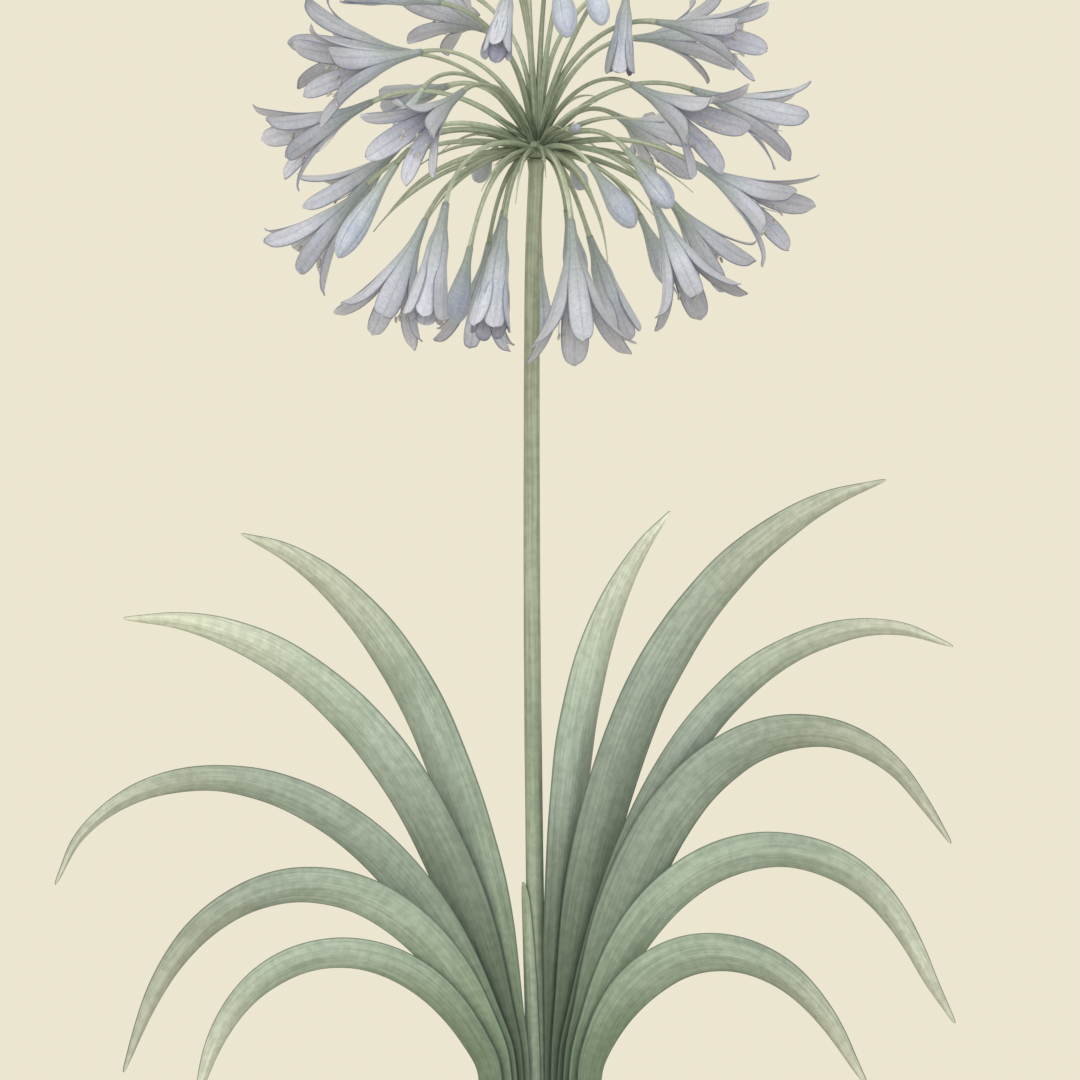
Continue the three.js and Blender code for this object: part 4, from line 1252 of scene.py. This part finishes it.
class AGAPANTHUS_OT_umbel(bpy.types.Operator):
    """Builds the knob, the stalks, the florets and the buds"""

    bl_idname = "agapanthus.umbel"
    bl_label = "Umbel"

    def execute(self, context):
        settings = context.scene.agapanthus_flowers
        # Skin of thin young stalks and their knob: darker at the knob, as painted shade where the stalks
        # crowd on it, pale and fresh further out
        stalk = plant_skin(
            "young_stalk_skin", ("#8f9e89", settings.stalk, "#b8c2b0", "#bac4b4", "#556452"),
            fibre=0.8, wash=18, margin=0.99, relief=0.05, streak=0.4, Roughness=0.6,
        )
        # Drying tissue of the bracts: dull olive and darker than the stalks, as painted shade that
        # deepens the middle of the umbel
        bract = plant_skin(
            "dry_bract_painted_shade", ("#64735f", "#74826c", "#9ca68e", "#88947d", "#46553f"),
            fibre=0.6, wash=12, margin=0.99, relief=0.04, Roughness=0.7,
        )
        # Thin petal tissue: pale lavender, greener in the tube, with fine violet-grey veins; soft
        # and slightly see-through
        petal = plant_skin(
            "lavender_petal_tissue", ("#99a4a6", settings.petal, "#bcc2d3", "#c3c9d8", "#69758b"),
            fibre=0.7, wash=11, margin=0.88, relief=0.05, lines=((0.0, 0.12, 0.28),), streak=0.13,
            Roughness=0.64, Subsurface_Weight=0.15, Subsurface_Scale=0.002, Sheen_Weight=0.12,
        )
        # Closed buds are a deeper slate-lavender, as their tissue is folded on itself
        bud = plant_skin(
            "slate_bud_tissue", ("#98a49f", settings.bud, "#a5adc1", "#b5bdce", "#5e6a83"),
            fibre=0.8, wash=9, margin=0.6, relief=0.05, streak=0.16, Roughness=0.62,
            Sheen_Weight=0.1,
        )
        # Filaments are moist threads of the petals' own tissue: paler, smooth and a little shiny
        filament = plant_skin(
            "pale_filament", ("#c2c4d0", "#c5c6d8", "#b4b6cc", "#d5d5de", "#9a9db4"),
            fibre=0.5, wash=6, margin=0.99, relief=0.02, Roughness=0.5,
        )
        # Anthers are dusty and matt, ochre over violet-grey. Pollen is too fine to show, so its
        # dust is drawn 0.4 mm coarse.
        anther = plant_skin(
            "dusty_anther", ("#a9a9a9", "#b5b3ac", "#aeada9", "#c0bbab", "#8b8a88"),
            fibre=0.4, wash=2, margin=0.99, relief=0.05, Roughness=0.9,
        )
        build_stalks(stalk)
        build_bracteoles(bract)
        rng = random.Random(53)
        for name in FLORET_NODES:
            build_floret(name, settings, rng, [petal, filament, anther, stalk])
        for name in BUD_NODES:
            build_bud(name, rng, [bud, stalk])
        return {"FINISHED"}


# ---- Stage ----

VIEW_SIDE = 0.0009  # metres by which the view's middle lies right of the plant's axis
LIT_PLACE = (0.0, 0.0, 0.34)
# Name, place, diameter, share of the key's power and colour of each light, in metres
LIGHTS = (
    ("key", (-1.5, -2.1, 2.3), 1.6, 1.0, "#fff6e6"),
    ("fill", (2.0, -1.2, 1.6), 1.8, 0.25, "#f8f6f4"),
    ("front", (0.2, -2.9, 0.5), 1.4, 0.75, "#f4f4fa"),
)


def area_light(name, place, size, power, colour):
    """A round soft light that faces the plant."""
    data = bpy.data.lights.new(name, "AREA")
    data.shape = "DISK"
    data.size = size
    data.energy = power
    data.color = linear(colour)
    lamp = bpy.data.objects.new(name, data)
    lamp.location = place
    lamp.rotation_mode = "QUATERNION"
    lamp.rotation_quaternion = (Vector(LIT_PLACE) - Vector(place)).to_track_quat("-Z", "Y")
    bpy.context.scene.collection.objects.link(lamp)


class AGAPANTHUS_OT_stage(bpy.types.Operator):
    """Lays the floor and sets the surroundings, the lights and the camera"""

    bl_idname = "agapanthus.stage"
    bl_label = "Stage"

    def execute(self, context):
        scene = context.scene
        settings = scene.agapanthus_stage
        # Matt painted board: plain and pale, with no gloss
        board, _, shader = bare_finish("matt_painted_board", Roughness=0.9, Specular_IOR_Level=0.1)
        shader.inputs["Base Color"].default_value = opaque(settings.floor)
        radius = settings.floor_radius
        rim = [(radius * math.cos(a), radius * math.sin(a), 0.0) for a in full_turn(96)]
        mesh = bpy.data.meshes.new("floor")
        mesh.from_pydata(rim, [], [tuple(range(len(rim)))])
        mesh.materials.append(board)
        floor = bpy.data.objects.new("floor", mesh)
        scene.collection.objects.link(floor)

        world = bpy.data.worlds.new("pale_surroundings")
        world.use_nodes = True
        world.node_tree.nodes["Background"].inputs["Color"].default_value = opaque(settings.backdrop)
        scene.world = world
        for name, place, size, share, colour in LIGHTS:
            area_light(name, place, size, settings.key_power * share, colour)

        camera = bpy.data.cameras.new("camera")
        camera.lens = settings.lens
        camera.sensor_width = 36.0
        camera.clip_end = 100.0
        distance = settings.view_height * settings.lens / camera.sensor_width
        eye = bpy.data.objects.new("camera", camera)
        eye.location = (VIEW_SIDE, -distance, settings.view_centre)
        eye.rotation_euler = (math.pi / 2, 0.0, 0.0)
        scene.collection.objects.link(eye)
        scene.camera = eye
        scene.view_settings.view_transform = "Standard"
        return {"FINISHED"}


# ---- Panel and registration ----

# Each step's operator, the name of its settings on the scene and their group
STEPS = (
    (AGAPANTHUS_OT_root_ball, "agapanthus_roots", RootSettings),
    (AGAPANTHUS_OT_leaves, "agapanthus_leaves", LeafSettings),
    (AGAPANTHUS_OT_scape, "agapanthus_scape", ScapeSettings),
    (AGAPANTHUS_OT_umbel, "agapanthus_flowers", FlowerSettings),
    (AGAPANTHUS_OT_stage, "agapanthus_stage", StageSettings),
)


class AGAPANTHUS_PT_plant(bpy.types.Panel):
    """Sidebar panel with the plant's steps and settings"""

    bl_idname = "AGAPANTHUS_PT_plant"
    bl_label = "Agapanthus"
    bl_space_type = "VIEW_3D"
    bl_region_type = "UI"
    bl_category = "Agapanthus"

    def draw(self, context):
        for step, label, group in STEPS:
            box = self.layout.box()
            box.operator(step.bl_idname)
            for name in group.__annotations__:
                box.prop(getattr(context.scene, label), name)


def register():
    for step, label, group in STEPS:
        bpy.utils.register_class(group)
        bpy.utils.register_class(step)
        setattr(bpy.types.Scene, label, PointerProperty(type=group))
    bpy.utils.register_class(AGAPANTHUS_PT_plant)


def unregister():
    bpy.utils.unregister_class(AGAPANTHUS_PT_plant)
    for step, label, group in reversed(STEPS):
        delattr(bpy.types.Scene, label)
        bpy.utils.unregister_class(step)
        bpy.utils.unregister_class(group)


def main():
    register()
    bpy.ops.agapanthus.root_ball()
    bpy.ops.agapanthus.leaves()
    bpy.ops.agapanthus.scape()
    bpy.ops.agapanthus.umbel()
    bpy.ops.agapanthus.stage()


if __name__ == "__main__":
    main()
